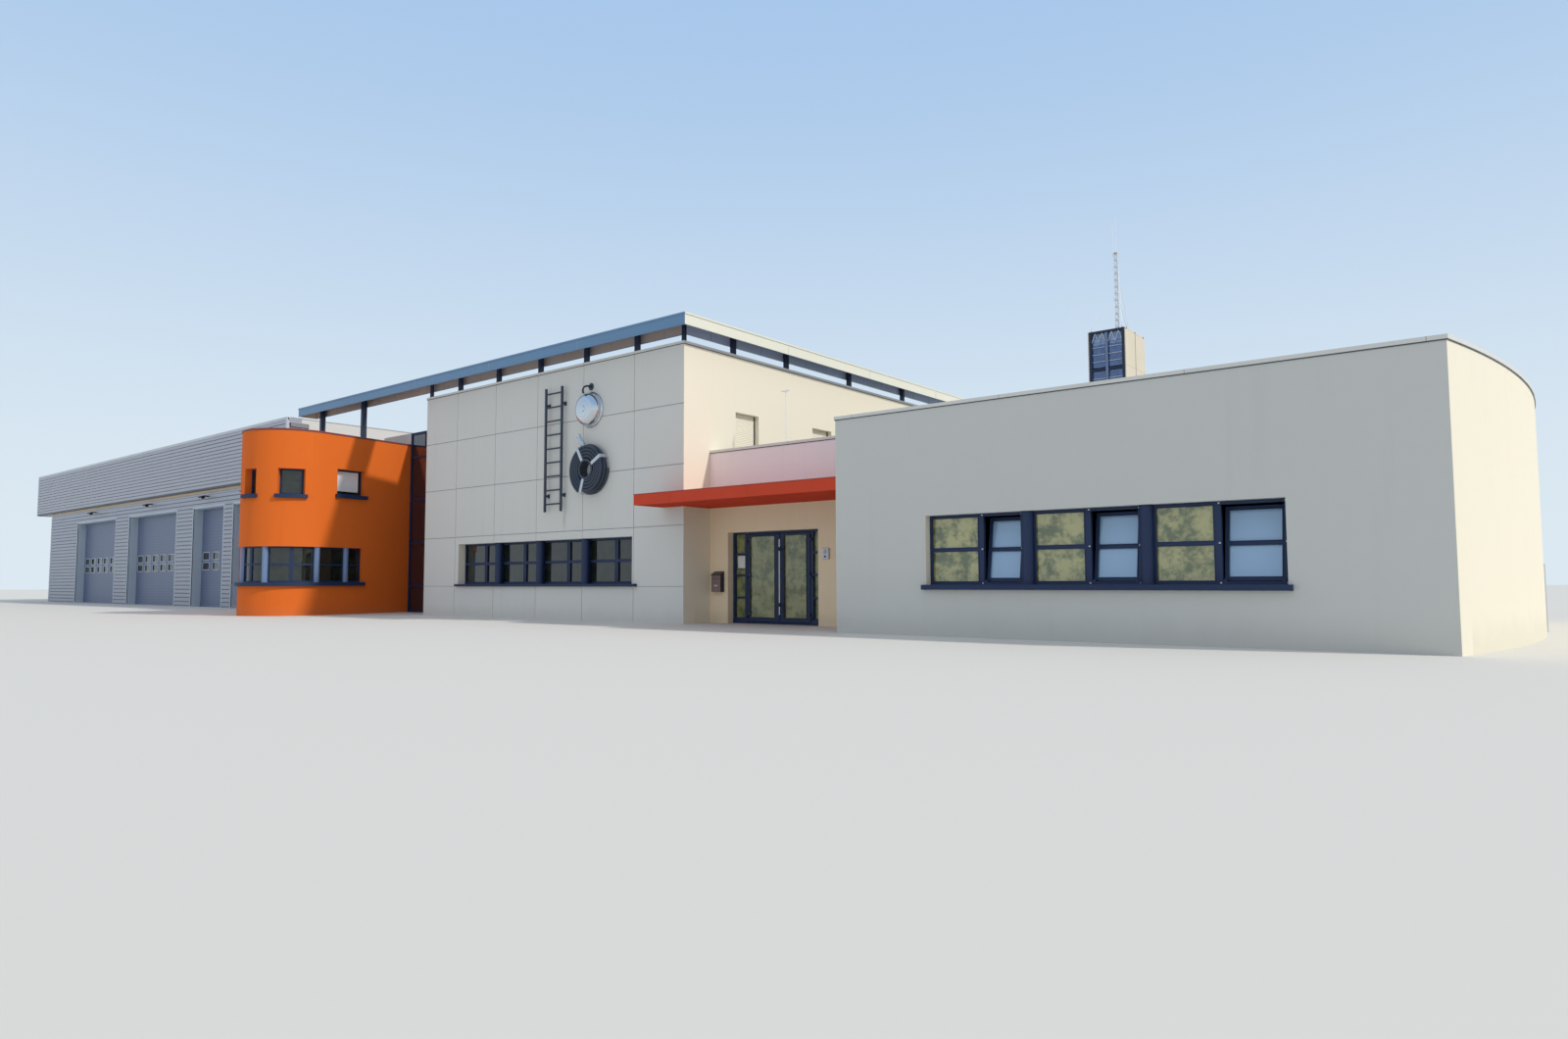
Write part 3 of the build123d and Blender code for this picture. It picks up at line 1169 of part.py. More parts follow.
def build_all():
    """Write every node."""
    os.makedirs("parts", exist_ok=True)
    save("floor_slabs", floor_slabs())
    save("upper_floors", upper_floors())
    save("roof_decks", roof_decks())
    save("mid_front_wall", mid_front_wall())
    save("mid_right_wall", mid_right_wall())
    save("mid_back_walls", mid_back_walls())
    save("mid_coping", mid_coping())
    frames, panes = mid_strip()
    save("mid_window_frames", frames)
    save("mid_window_glass", panes)
    frames, panes = side_window_set()
    save("side_window_frames", frames)
    save("side_window_glass", panes)
    save("window_sills", window_sills())
    save("right_front_wall", right_front_wall())
    save("right_end_wall", right_end_wall())
    save("right_left_wall", right_left_wall())
    save("low_rear_wall", low_rear_wall())
    save("low_coping", low_coping())
    frames, panes = right_strip()
    save("right_window_frames", frames)
    save("right_window_glass", panes)
    left, right, over = entry_walls()
    save("entry_wall_left", left)
    save("entry_wall_right", right)
    save("entry_wall_over", over)
    save("door_frame", door_frame())
    save("sidelight_glass", sidelight_glass())
    left, left_pane, right, right_pane = door_leaves()
    save("door_leaf_left", left)
    save("door_glass_left", left_pane)
    save("door_leaf_right", right)
    save("door_glass_right", right_pane)
    save("door_pull", door_pull())
    save("canopy_frame", canopy_frame())
    save("canopy_slats", canopy_slats())
    save("entry_boxes", entry_boxes())
    save("orange_nose_wall", orange_nose_wall())
    save("orange_side_wall", orange_side_wall())
    save("orange_back_walls", orange_back_walls())
    frames, panes = orange_windows()
    save("orange_window_frames", frames)
    save("orange_sills", orange_sills())
    save("orange_window_glass", panes)
    save("link_walls", link_walls())
    frame, panes = link_glazing()
    save("link_frame", frame)
    save("link_glass", panes)
    save("hall_front_wall", hall_front_wall())
    save("hall_front_band", hall_front_band())
    save("hall_right_wall", hall_right_wall())
    save("hall_back_walls", hall_back_walls())
    save("hall_roof", hall_roof())
    save("hall_door_linings", hall_door_linings())
    doors, panes = hall_doors()
    save("hall_doors", doors)
    save("hall_door_glass", panes)
    save("hall_fittings", hall_fittings())
    save("roof_ring", roof_ring())
    save("roof_ring_posts", roof_ring_posts())
    save("tower_frame", tower_frame())
    save("tower_panels", tower_panels())
    save("antenna_masts", [lattice_mast(), roof_pole()])
    save("wall_relief", wall_relief())


build_all()
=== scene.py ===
"""Looks of a half-size fire station: finishes for every CAD piece and the detail that the CAD leaves out.

Metres, +Z up, street fronts face -Y. The origin lies on the ground in the middle of the entrance doorway.
"""

import logging
import math
from dataclasses import dataclass
from enum import Enum
from typing import Callable, Optional, Sequence, Union

import bmesh
import bpy
import numpy as np
from mathutils import Matrix, Vector

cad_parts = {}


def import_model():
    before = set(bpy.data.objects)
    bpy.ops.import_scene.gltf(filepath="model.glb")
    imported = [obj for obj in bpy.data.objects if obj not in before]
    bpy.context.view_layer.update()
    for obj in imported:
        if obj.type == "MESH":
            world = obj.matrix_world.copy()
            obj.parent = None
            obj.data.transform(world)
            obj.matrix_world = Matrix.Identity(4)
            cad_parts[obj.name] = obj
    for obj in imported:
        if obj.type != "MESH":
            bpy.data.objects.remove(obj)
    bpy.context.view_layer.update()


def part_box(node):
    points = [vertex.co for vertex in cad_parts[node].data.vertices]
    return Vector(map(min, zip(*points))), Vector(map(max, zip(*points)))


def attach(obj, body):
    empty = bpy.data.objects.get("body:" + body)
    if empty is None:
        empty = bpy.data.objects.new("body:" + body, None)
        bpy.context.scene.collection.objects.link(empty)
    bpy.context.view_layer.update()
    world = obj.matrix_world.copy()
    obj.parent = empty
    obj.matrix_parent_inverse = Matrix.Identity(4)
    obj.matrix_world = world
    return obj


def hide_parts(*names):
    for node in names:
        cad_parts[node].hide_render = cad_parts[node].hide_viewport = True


LOG = logging.getLogger("fire_station")
Array = np.ndarray
Numbers = Union[float, Array]
Points = Union[Array, Sequence[Sequence[float]]]
Pair = tuple[float, float]
Triple = tuple[float, float, float]
Socket = bpy.types.NodeSocket
Sockets = bpy.types.bpy_prop_collection
Feeds = dict[Union[str, int], object]

X, Y, Z = (1.0, 0.0, 0.0), (0.0, 1.0, 0.0), (0.0, 0.0, 1.0)
AXIS_RADIUS = 1e-4
PANEL_JOINT, PANEL_PITCH = -1.835, 0.954
LAMELLA_PITCH = 0.022


# Surfaces worked out with numpy


@dataclass(frozen=True)
class Basis:
    """Plane in which a shape is drawn: a start, two directions along it and one out of it."""

    origin: Triple = (0.0, 0.0, 0.0)
    along: Triple = X
    across: Triple = Y
    out: Triple = Z

    def place(self, a: Numbers, b: Numbers, c: Numbers) -> Array:
        """Point = origin + a along + b across + c out, for whole arrays.

        Args:
            a: Distances along.
            b: Distances across.
            c: Distances out.

        Returns:
            Points, with a last axis of three.
        """
        directions = (self.along, self.across, self.out)
        parts = [np.asarray(v, float)[..., None] * np.array(d) for v, d in zip((a, b, c), directions)]
        return np.array(self.origin) + parts[0] + parts[1] + parts[2]

    def end_on(self) -> "Basis":
        """The same plane looked at along its first direction, for outlines given as (out, across)."""
        return Basis(self.origin, self.out, self.across, self.along)


PLAN = Basis()


def front_plane(y: float, x: float = 0.0, z: float = 0.0) -> Basis:
    """Plane of a street front at depth y: along +X, across +Z, out towards the street."""
    return Basis((x, y, z), X, Z, (0.0, -1.0, 0.0))


def side_plane(x: float) -> Basis:
    """Plane of a wall that faces +X: along +Y, across +Z, out towards +X."""
    return Basis((x, 0.0, 0.0), Y, Z, X)


def rounded_outline(width: float, height: float, radius: float) -> Array:
    """Rectangle with round corners: four quarter circles, each shifted to its corner's centre.

    Args:
        width: Width of the rectangle.
        height: Its height.
        radius: Radius of its corners.

    Returns:
        Points, shaped (16, 2).
    """
    quarter = (np.arange(4) * math.pi / 2)[:, None] + np.linspace(0.0, math.pi / 2, 4)
    x = np.array([[1], [-1], [-1], [1]]) * (width / 2 - radius) + radius * np.cos(quarter)
    y = np.array([[1], [1], [-1], [-1]]) * (height / 2 - radius) + radius * np.sin(quarter)
    return np.stack([x, y], axis=-1).reshape(-1, 2)


def box_profile(a0: float, a1: float, c0: float, c1: float, cut: float) -> Array:
    """Rectangular profile whose four corners are cut off by the same amount.

    Args:
        a0: Lowest first number.
        a1: Highest first number.
        c0: Lowest second number.
        c1: Highest second number.
        cut: What a corner loses along both.

    Returns:
        Points, shaped (8, 2).
    """
    return np.array([
        [a0 + cut, c0], [a1 - cut, c0], [a1, c0 + cut], [a1, c1 - cut],
        [a1 - cut, c1], [a0 + cut, c1], [a0, c1 - cut], [a0, c0 + cut],
    ])


def rectangle(a0: float, a1: float, b0: float, b1: float) -> Array:
    """Closed path round a rectangle, with its outside on the right."""
    return np.array([[a0, b0], [a1, b0], [a1, b1], [a0, b1]])


def lamellas(foot: float, head: float, steps: int, depth: float, thick: float) -> Array:
    """Outline of a blind as (out, height): depth times the sine of the height, on both faces.

    Args:
        foot: Height of its lower edge.
        head: Height of its upper edge.
        steps: Points of each face.
        depth: Depth of the waves.
        thick: Distance between the faces.

    Returns:
        Points, shaped (2 steps, 2).
    """
    z = np.linspace(foot, head, steps)
    wave = depth * np.sin((z - foot) * 2 * math.pi / LAMELLA_PITCH)
    return np.concatenate([np.stack([wave, z], 1), np.stack([wave - thick, z], 1)[::-1]])


class Shell:
    """Closed surfaces gathered into one mesh."""

    def __init__(self) -> None:
        """Start with no points and no faces."""
        self.points: list[Array] = []
        self.faces: list[Sequence[int]] = []

    def grid(self, rings: Array, looped: bool = False) -> "Shell":
        """Add rings of points: each is a closed outline, and neighbouring rings are joined by quads.

        Args:
            rings: Points, shaped (rings, points of a ring, 3).
            looped: Join the last ring to the first, instead of closing both with a flat face.

        Returns:
            The shell itself.
        """
        n, m = rings.shape[:2]
        index = sum(map(len, self.points)) + np.arange(n * m).reshape(n, m)
        rows = np.vstack([index, index[:1]]) if looped else index
        cols = np.hstack([rows, rows[:, :1]])
        quads = np.stack([cols[:-1, :-1], cols[1:, :-1], cols[1:, 1:], cols[:-1, 1:]], axis=-1)
        self.points.append(rings.reshape(-1, 3))
        self.faces += quads.reshape(-1, 4).tolist()
        if not looped:
            self.faces += [index[0].tolist(), index[-1][::-1].tolist()]
        return self

    def slab(self, outline: Points, basis: Basis, levels: Pair) -> "Shell":
        """Add a flat outline carried straight between two levels out of its plane."""
        line = np.asarray(outline, float)
        return self.grid(np.stack([basis.place(line[:, 0], line[:, 1], level) for level in levels]))

    def run(self, path: Points, profile: Array, basis: Basis = PLAN, closed: bool = False) -> "Shell":
        """Carry a closed profile along a flat path with mitred corners.

        At each corner the profile's first number is laid off along the mean of the two side normals, divided
        by one plus their dot product, which keeps the width of both runs. The second goes out of the plane.

        Args:
            path: Corners in the plane, shaped (n, 2).
            profile: Outline as (to the right of the path, out of the plane), shaped (m, 2).
            basis: The plane.
            closed: Whether the path returns to its start.

        Returns:
            The shell itself.
        """
        path = np.array(path, float)
        runs = np.roll(path, -1, axis=0) - path
        if not closed:
            runs[-1] = runs[-2]
        runs /= np.linalg.norm(runs, axis=1, keepdims=True)
        normal = np.stack([runs[:, 1], -runs[:, 0]], axis=1)
        before = np.roll(normal, 1, axis=0)
        if not closed:
            before[0] = normal[0]
        mitre = (normal + before) / (1.0 + np.sum(normal * before, axis=1, keepdims=True))
        points = path[:, None] + mitre[:, None] * profile[:, :1]
        return self.grid(basis.place(points[..., 0], points[..., 1], profile[:, 1]), closed)

    def box(
        self, lo: Triple, hi: Triple, edge: float = 0.002, axis: int = 1, corner: Optional[float] = None
    ) -> "Shell":
        """Box with rounded edges: rounded outlines along one axis, drawn in by a quarter circle at both ends.

        Args:
            lo: Lowest corner.
            hi: Highest corner.
            edge: Radius of the rounded rims.
            axis: Axis along which the outlines are stacked, 0, 1 or 2.
            corner: Radius of the outline's corners, or None for the rim's.

        Returns:
            The shell itself.
        """
        size = np.subtract(hi, lo)
        others = [i for i in range(3) if i != axis]
        flat = size[others]
        edge = min(edge, size.min() * 0.45)
        corner = edge if corner is None else min(corner, flat.min() * 0.49)
        turn = np.linspace(0.0, math.pi / 2, 4)
        sine, cosine = edge * (1 - np.sin(turn)), edge * (1 - np.cos(turn))
        inset = np.concatenate([sine, cosine])[:, None, None]
        outlines = rounded_outline(*flat, corner) * (1 - 2 * inset / flat)
        rings = np.empty((*outlines.shape[:2], 3))
        rings[..., others] = outlines + flat / 2
        rings[..., axis] = np.concatenate([cosine, size[axis] - sine])[:, None]
        return self.grid(rings + np.array(lo))

    def bar(self, path: Points, radius: Numbers, sides: int) -> "Shell":
        """Round bar along a path: at each point a circle in the plane of two vectors square to its direction.

        Args:
            path: Points, shaped (n, 3).
            radius: Radius, or one for each point.
            sides: Points of each circle.

        Returns:
            The shell itself.
        """
        path = np.array(path, float)
        run = np.gradient(path, axis=0)
        run /= np.linalg.norm(run, axis=1, keepdims=True)
        first = np.cross(run, np.eye(3)[np.argmin(np.ptp(path, axis=0))])
        first /= np.linalg.norm(first, axis=1, keepdims=True)
        turn = np.linspace(0, 2 * math.pi, sides, endpoint=False)[:, None]
        circle = first[:, None] * np.cos(turn) + np.cross(run, first)[:, None] * np.sin(turn)
        return self.grid(path[:, None] + np.reshape(radius, (-1, 1, 1)) * circle)

    def turned(
        self, profile: Points, basis: Basis, sides: int, dome: float = 0.0, ring: bool = False
    ) -> "Shell":
        """Turned shape: each (radius, height) of the profile becomes a circle round the basis's out.

        Args:
            profile: Outline from one end of the axis to the other, or right round for a ring.
            basis: Place and direction of the axis.
            sides: Points of each circle.
            dome: Rise of the last end's middle over its rim.
            ring: Leave the middle open.

        Returns:
            The shell itself.
        """
        line = np.array(profile, float)
        if not ring:
            ends = [AXIS_RADIUS, line[0, 1]], [AXIS_RADIUS, line[-1, 1] + dome]
            line = np.array([ends[0], *line, ends[1]])
        radius, turn = line[:, :1], np.linspace(0, 2 * math.pi, sides, endpoint=False)
        return self.grid(basis.place(radius * np.cos(turn), radius * np.sin(turn), line[:, 1:]), ring)

    def column(self, x: float, y: float, span: Pair, radius: float, collar: float, sides: int) -> "Shell":
        """Round cover of a column between two heights: a turned shape with a collar at either end.

        Args:
            x: Place of its axis along X.
            y: Place of its axis along Y.
            span: Foot and head.
            radius: Radius of the collars.
            collar: Height of a collar.
            sides: Points of each circle.

        Returns:
            The shell itself.
        """
        (foot, head), shaft, neck = span, radius - 0.0027, collar + 0.003
        profile = [[radius, foot], [radius, foot + collar], [shaft, foot + neck], [shaft, head - neck],
                   [radius, head - collar], [radius, head]]
        return self.turned(profile, Basis((x, y, 0.0)), sides)

    def piece(
        self, name: str, finish: "Finish", slot: str, body: str = "building", smooth: bool = False,
        replaces: Sequence[str] = (),
    ) -> None:
        """Make the object, turn its faces outwards and let it ride on a body.

        Args:
            name: Name of the piece.
            finish: Finish that covers it.
            slot: Material slot of the record that the piece belongs to; not used.
            body: CAD body that carries it.
            smooth: Shade it smooth with sharp edges kept above 35 degrees.
            replaces: CAD nodes that it stands for.
        """
        mesh = bpy.data.meshes.new(name)
        mesh.from_pydata(np.concatenate(self.points).tolist(), [], self.faces)
        shape = bmesh.new()
        shape.from_mesh(mesh)
        bmesh.ops.remove_doubles(shape, verts=shape.verts, dist=1e-6)
        bmesh.ops.recalc_face_normals(shape, faces=shape.faces)
        shape.to_mesh(mesh)
        shape.free()
        if smooth:
            mesh.polygons.foreach_set("use_smooth", np.ones(len(mesh.polygons), bool))
            mesh.set_sharp_from_angle(angle=math.radians(35))
        obj = bpy.data.objects.new(name, mesh)
        bpy.context.scene.collection.objects.link(obj)
        mesh.materials.append(finish.material())
        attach(obj, body)
        if replaces:
            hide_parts(*replaces)
        LOG.info("piece %s: %d faces on %s", name, len(mesh.polygons), body)


# Node helpers


def linear(hex_colour: str) -> tuple[float, float, float, float]:
    """Colour of a picture as scene values: each channel by the standard display curve turned round.

    Args:
        hex_colour: A hash sign and six digits.

    Returns:
        Red, green, blue and one.
    """
    values = np.array([int(hex_colour[i : i + 2], 16) / 255 for i in (1, 3, 5)])
    out = np.where(values <= 0.04045, values / 12.92, ((values + 0.055) / 1.055) ** 2.4)
    return (*map(float, out), 1.0)


class Wires:
    """Short ways to add and join nodes in one tree."""

    def __init__(self, tree: bpy.types.NodeTree) -> None:
        """Keep the tree that the nodes go into."""
        self.tree = tree

    def feed(self, node: bpy.types.Node, feeds: Feeds) -> None:
        """Join a node's inputs, by name or number, to other sockets, or set their values.

        Args:
            node: The node.
            feeds: Socket or value for each input.
        """
        for key, value in feeds.items():
            if isinstance(value, bpy.types.NodeSocket):
                self.tree.links.new(value, node.inputs[key])
            else:
                node.inputs[key].default_value = value

    def node(self, kind: str, feeds: Optional[Feeds] = None, **settings: object) -> bpy.types.Node:
        """Add a node, set its properties and feed its inputs.

        Args:
            kind: Type of the node.
            feeds: Socket or value for each input.
            settings: Its properties.

        Returns:
            The node.
        """
        node = self.tree.nodes.new(kind)
        for key, value in settings.items():
            setattr(node, key, value)
        self.feed(node, feeds or {})
        return node

    def math(self, operation: str, a: object, b: object = 0.0, clamp: bool = False) -> Socket:
        """One sum with one or two numbers."""
        return self.node("ShaderNodeMath", {0: a, 1: b}, operation=operation, use_clamp=clamp).outputs[0]

    def times(self, a: object, b: object, clamp: bool = False) -> Socket:
        """Product of two numbers."""
        return self.math("MULTIPLY", a, b, clamp)

    def step(self, value: object, low: object, high: object, start: float = 0.0, end: float = 1.0) -> Socket:
        """Smooth change from a start to an end value between two limits."""
        feeds = {"Value": value, "From Min": low, "From Max": high, "To Min": start, "To Max": end}
        return self.node("ShaderNodeMapRange", feeds, interpolation_type="SMOOTHSTEP").outputs[0]

    def mix(self, share: object, a: object, b: object) -> Socket:
        """Mix of two colours."""
        feeds = {0: share, 6: a, 7: b}
        return self.node("ShaderNodeMix", feeds, data_type="RGBA", clamp_factor=True).outputs[2]

    def shade(self, colour: object, tone: Socket) -> Socket:
        """A colour made brighter or darker by a factor."""
        return self.node("ShaderNodeVectorMath", {0: colour, "Scale": tone}, operation="SCALE").outputs[0]

    def noise(self, vector: Socket, scale: object, detail: float = 4.0, rough: float = 0.55) -> Socket:
        """Noise value at a point."""
        feeds = {"Vector": vector, "Scale": scale, "Detail": detail, "Roughness": rough}
        return self.node("ShaderNodeTexNoise", feeds).outputs[0]

    def stretched(self, vector: Socket, scale: Triple) -> Socket:
        """Coordinates scaled by a different amount along each axis."""
        return self.node("ShaderNodeMapping", {"Vector": vector, "Scale": scale}).outputs[0]

    def place(self) -> tuple[Socket, ...]:
        """Object coordinates, whole and as X, Y and Z."""
        where = self.node("ShaderNodeTexCoord").outputs["Object"]
        return (where, *self.node("ShaderNodeSeparateXYZ", {0: where}).outputs)

    def normal(self, axis: int) -> Socket:
        """One part of the surface's direction."""
        direction = self.node("ShaderNodeNewGeometry").outputs["Normal"]
        return self.node("ShaderNodeSeparateXYZ", {0: direction}).outputs[axis]

    def sunlit_side_tint(self, colour: object, side: Optional[str]) -> object:
        """Painted sunlight: a colour that turns into another one, where given, on faces towards +X, which the
        sun lights.
        """
        return colour if side is None else self.mix(self.step(self.normal(0), 0.5, 0.9), colour, linear(side))

    def bump(self, height: Socket, strength: float, distance: float) -> Socket:
        """Normal of a surface whose relief has this height, share of the effect and depth in metres."""
        feeds = {"Height": height, "Strength": strength, "Distance": distance}
        return self.node("ShaderNodeBump", feeds).outputs[0]


@dataclass(frozen=True)
class Group:
    """Shader group that is built once and shared. A socket called Colour is a colour, any other a number."""

    name: str
    inputs: tuple[str, ...]
    outputs: tuple[str, ...]
    inside: Callable[[Wires, Sockets], Feeds]

    def tree(self) -> bpy.types.NodeTree:
        """The group's tree, built on the first call.

        Returns:
            The tree.
        """
        if self.name in bpy.data.node_groups:
            return bpy.data.node_groups[self.name]
        tree = bpy.data.node_groups.new(self.name, "ShaderNodeTree")
        for labels, way in ((self.inputs, "INPUT"), (self.outputs, "OUTPUT")):
            for label in labels:
                kind = "NodeSocketColor" if label == "Colour" else "NodeSocketFloat"
                tree.interface.new_socket(name=label, in_out=way, socket_type=kind)
        wires = Wires(tree)
        wires.node("NodeGroupOutput", self.inside(wires, wires.node("NodeGroupInput").outputs))
        return tree

    def put(self, w: Wires, feeds: Feeds) -> Sockets:
        """Put the group into a material with its own values, and give its outputs by name."""
        return w.node("ShaderNodeGroup", feeds, node_tree=self.tree()).outputs


def weather(w: Wires, given: Sockets) -> Feeds:
    """Outer wall: mottle from broad noise, runs from stretched noise, soiled foot from height and noise.

    Args:
        w: Wires of the group's tree.
        given: The group's inputs.

    Returns:
        What its outputs get.
    """
    where, _, _, z = w.place()
    fine = w.noise(where, 9.0, 5.0, 0.6)
    cloud = w.math("ADD", w.times(w.noise(where, 0.9, 6.0, 0.6), 0.65), w.times(fine, 0.35))
    runs = w.step(w.noise(w.stretched(where, (7.0, 7.0, 0.35)), 1.0, 5.0, 0.65), 0.52, 0.78)
    ragged = w.times(w.noise(where, 5.0), 0.16)
    foot = w.step(w.math("SUBTRACT", z, ragged), -0.05, given["Foot"], 1.0, 0.0)
    dark = w.times(w.math("SUBTRACT", cloud, 0.5), given["Mottle"])
    tone = w.math("SUBTRACT", w.math("SUBTRACT", 1.0, dark), w.times(runs, given["Runs"]))
    soiled = w.mix(w.times(foot, given["Soil"]), w.shade(given["Colour"], tone), linear("#8f8672"))
    grain = w.math("ADD", w.noise(where, given["Grain"], 3.0, 0.7), w.times(fine, 0.4))
    rough = w.math("ADD", 0.82, w.times(dark, -0.6), clamp=True)
    return {"Colour": soiled, "Roughness": rough, "Height": grain}


def even_lines(w: Wires, given: Sockets) -> Feeds:
    """Thin lines at an even pitch: distance to the nearest whole pitch, compared with half the width.

    Args:
        w: Wires of the group's tree.
        given: The group's inputs.

    Returns:
        What its outputs get.
    """
    turned = w.math("DIVIDE", w.math("SUBTRACT", given["Place"], given["Start"]), given["Pitch"])
    away = w.times(w.math("ABSOLUTE", w.math("SUBTRACT", turned, w.math("ROUND", turned))), given["Pitch"])
    half = w.times(given["Width"], 0.5)
    return {"Mask": w.step(away, half, w.times(half, 1.6), 1.0, 0.0)}


def metal_coat(w: Wires, given: Sockets) -> Feeds:
    """Metal: shade from broad noise, dust from the upward part of the normal, gloss from fine noise.

    Args:
        w: Wires of the group's tree.
        given: The group's inputs.

    Returns:
        What its outputs get.
    """
    where = w.place()[0]
    fine = w.noise(where, given["Scuff"], 6.0, 0.7)
    broad = w.math("SUBTRACT", w.noise(where, 2.3, 5.0, 0.6), 0.5)
    tone = w.math("ADD", 1.0, w.times(broad, given["Change"]))
    settled = w.times(w.step(w.normal(2), 0.55, 0.98), given["Dust"])
    dust = w.times(settled, w.math("ADD", 0.35, fine), clamp=True)
    rough = w.math("ADD", given["Roughness"], w.times(w.math("SUBTRACT", fine, 0.5), 0.22))
    return {
        "Colour": w.mix(dust, w.shade(given["Colour"], tone), linear("#b5b0a4")),
        "Roughness": w.math("ADD", rough, w.times(dust, 0.5), clamp=True),
        "Height": fine,
    }


COAT_OUT = ("Colour", "Roughness", "Height")
WEATHER_IN = ("Colour", "Mottle", "Runs", "Soil", "Foot", "Grain")
WEATHER = Group("outer wall weather", WEATHER_IN, COAT_OUT, weather)
LINES = Group("even lines", ("Place", "Start", "Pitch", "Width"), ("Mask",), even_lines)
COAT = Group("metal coat", ("Colour", "Change", "Dust", "Scuff", "Roughness"), COAT_OUT, metal_coat)


# Finishes


@dataclass(frozen=True)
class Finish:
    """A finish: one material, built when it is first used."""

    name: str
    colour: str

    def material(self) -> bpy.types.Material:
        """The finish's material, built on the first call.

        Returns:
            The material.
        """
        found = bpy.data.materials.get(self.name)
        if found is not None and found.get("station_finish"):
            return found
        material = bpy.data.materials.new(self.name)
        material["station_finish"] = True
        material.use_nodes = True
        w = Wires(material.node_tree)
        w.feed(material.node_tree.nodes["Principled BSDF"], self.inputs(w))
        return material

    def inputs(self, w: Wires) -> Feeds:
        """What the shader is fed with; each kind of finish has its own way."""
        raise NotImplementedError

    def cover(self, *names: str) -> None:
        """Give this finish to CAD nodes.

        Args:
            names: The nodes.
        """
        for name in names:
            for slot in bpy.data.objects[name].material_slots:
                slot.material = self.material()


@dataclass(frozen=True)
class WallCoat(Finish):
    """Render or panel on an outer wall, with weather, and panel joints where it has them."""

    mottle: float = 0.06
    runs: float = 0.04
    soil: float = 0.12
    foot: float = 0.20
    grain: float = 120.0
    relief: float = 0.0012
    joints_z: Optional[Pair] = None
    joints_x: Optional[Pair] = None
    rust: Optional[Triple] = None
    # Height, and the colour above it: painted light, a change of tint where the light changes.
    above: Optional[tuple[float, str]] = None
    # Colour of faces towards +X: painted sunlight.
    side: Optional[str] = None

    def inputs(self, w: Wires) -> Feeds:
        """Weathered coat with joint lines; faces towards +X are painted creamier, as sunlit; a rust run hangs
        below one point.

        Args:
            w: Wires of the material's tree.

        Returns:
            What each input of the shader gets.
        """
        where, x, _, z = w.place()
        base = linear(self.colour)
        # Painted light: above the given height the coat takes another colour.
        if self.above is not None:
            base = w.mix(w.step(z, self.above[0] - 0.01, self.above[0] + 0.01), base, linear(self.above[1]))
        coat = WEATHER.put(w, {
            "Colour": base, "Mottle": self.mottle, "Runs": self.runs, "Soil": self.soil, "Foot": self.foot,
            "Grain": self.grain,
        })
        colour = coat["Colour"]
        for place, joints in ((z, self.joints_z), (x, self.joints_x)):
            if joints is not None:
                start, pitch = joints
                line = LINES.put(w, {"Place": place, "Start": start, "Pitch": pitch, "Width": 0.007})
                colour = w.mix(w.times(line["Mask"], 0.5), colour, linear("#5d666e"))
        # Painted sunlight: faces towards +X take the side colour.
        colour = w.sunlit_side_tint(colour, self.side)
        if self.rust is not None:
            colour = self.rusty(w, colour, where, x, z)
        return {
            "Base Color": colour, "Roughness": coat["Roughness"], "Specular IOR Level": 0.25,
            "Normal": w.bump(coat["Height"], 0.35, self.relief),
        }

    def rusty(self, w: Wires, colour: Socket, where: Socket, x: Socket, z: Socket) -> Socket:
        """Brown run below a fixing: narrow across, fading downwards, broken up by stretched noise.

        Args:
            w: Wires of the material's tree.
            colour: Colour without the run.
            where: Object coordinates.
            x: X of them.
            z: Z of them.

        Returns:
            Colour with the run.
        """
        at_x, at_z, length = self.rust
        across = w.step(w.math("ABSOLUTE", w.math("SUBTRACT", x, at_x)), 0.004, 0.045, 1.0, 0.0)
        down = w.times(w.step(z, at_z - length, at_z), w.step(z, at_z, at_z + 0.02, 1.0, 0.0))
        broken = w.step(w.noise(w.stretched(where, (60.0, 60.0, 3.0)), 1.0), 0.42, 0.62)
        return w.mix(w.times(w.times(across, down), w.times(broken, 0.65)), colour, linear("#8a5a34"))


@dataclass(frozen=True)
class Metal(Finish):
    """Painted, anodised or bare metal."""

    rough: float = 0.45
    metallic: float = 0.0
    change: float = 0.22
    dust: float = 0.3
    scuff: float = 70.0
    relief: float = 0.0003
    coat: float = 0.0
    lines: Optional[tuple[int, float, float, float]] = None
    # Default colour of the lines, used by the ribbed sheets: painted groove shade.
    line_colour: str = "#5b6070"
    # Colour of faces towards +X: painted sunlight.
    side: Optional[str] = None

    def inputs(self, w: Wires) -> Feeds:
        """Metal coat; faces towards +X are painted paler, as sunlit, where a side colour is given, and seams
        or lamella lines where it has them.

        Args:
            w: Wires of the material's tree.

        Returns:
            What each input of the shader gets.
        """
        coat = COAT.put(w, {
            "Colour": linear(self.colour), "Change": self.change, "Dust": self.dust, "Scuff": self.scuff,
            "Roughness": self.rough,
        })
        # Painted sunlight on faces towards +X.
        colour = w.sunlit_side_tint(coat["Colour"], self.side)
        # On the ribbed sheets the lines paint shade in the grooves; elsewhere they are seams and joints.
        if self.lines is not None:
            axis, start, pitch, width = self.lines
            place = w.place()[1 + axis]
            line = LINES.put(w, {"Place": place, "Start": start, "Pitch": pitch, "Width": width})
            colour = w.mix(w.times(line["Mask"], 0.75), colour, linear(self.line_colour))
        return {
            "Base Color": colour, "Roughness": coat["Roughness"], "Metallic": self.metallic,
            "Coat Weight": self.coat, "Coat Roughness": 0.15,
            "Normal": w.bump(coat["Height"], 0.25, self.relief),
        }


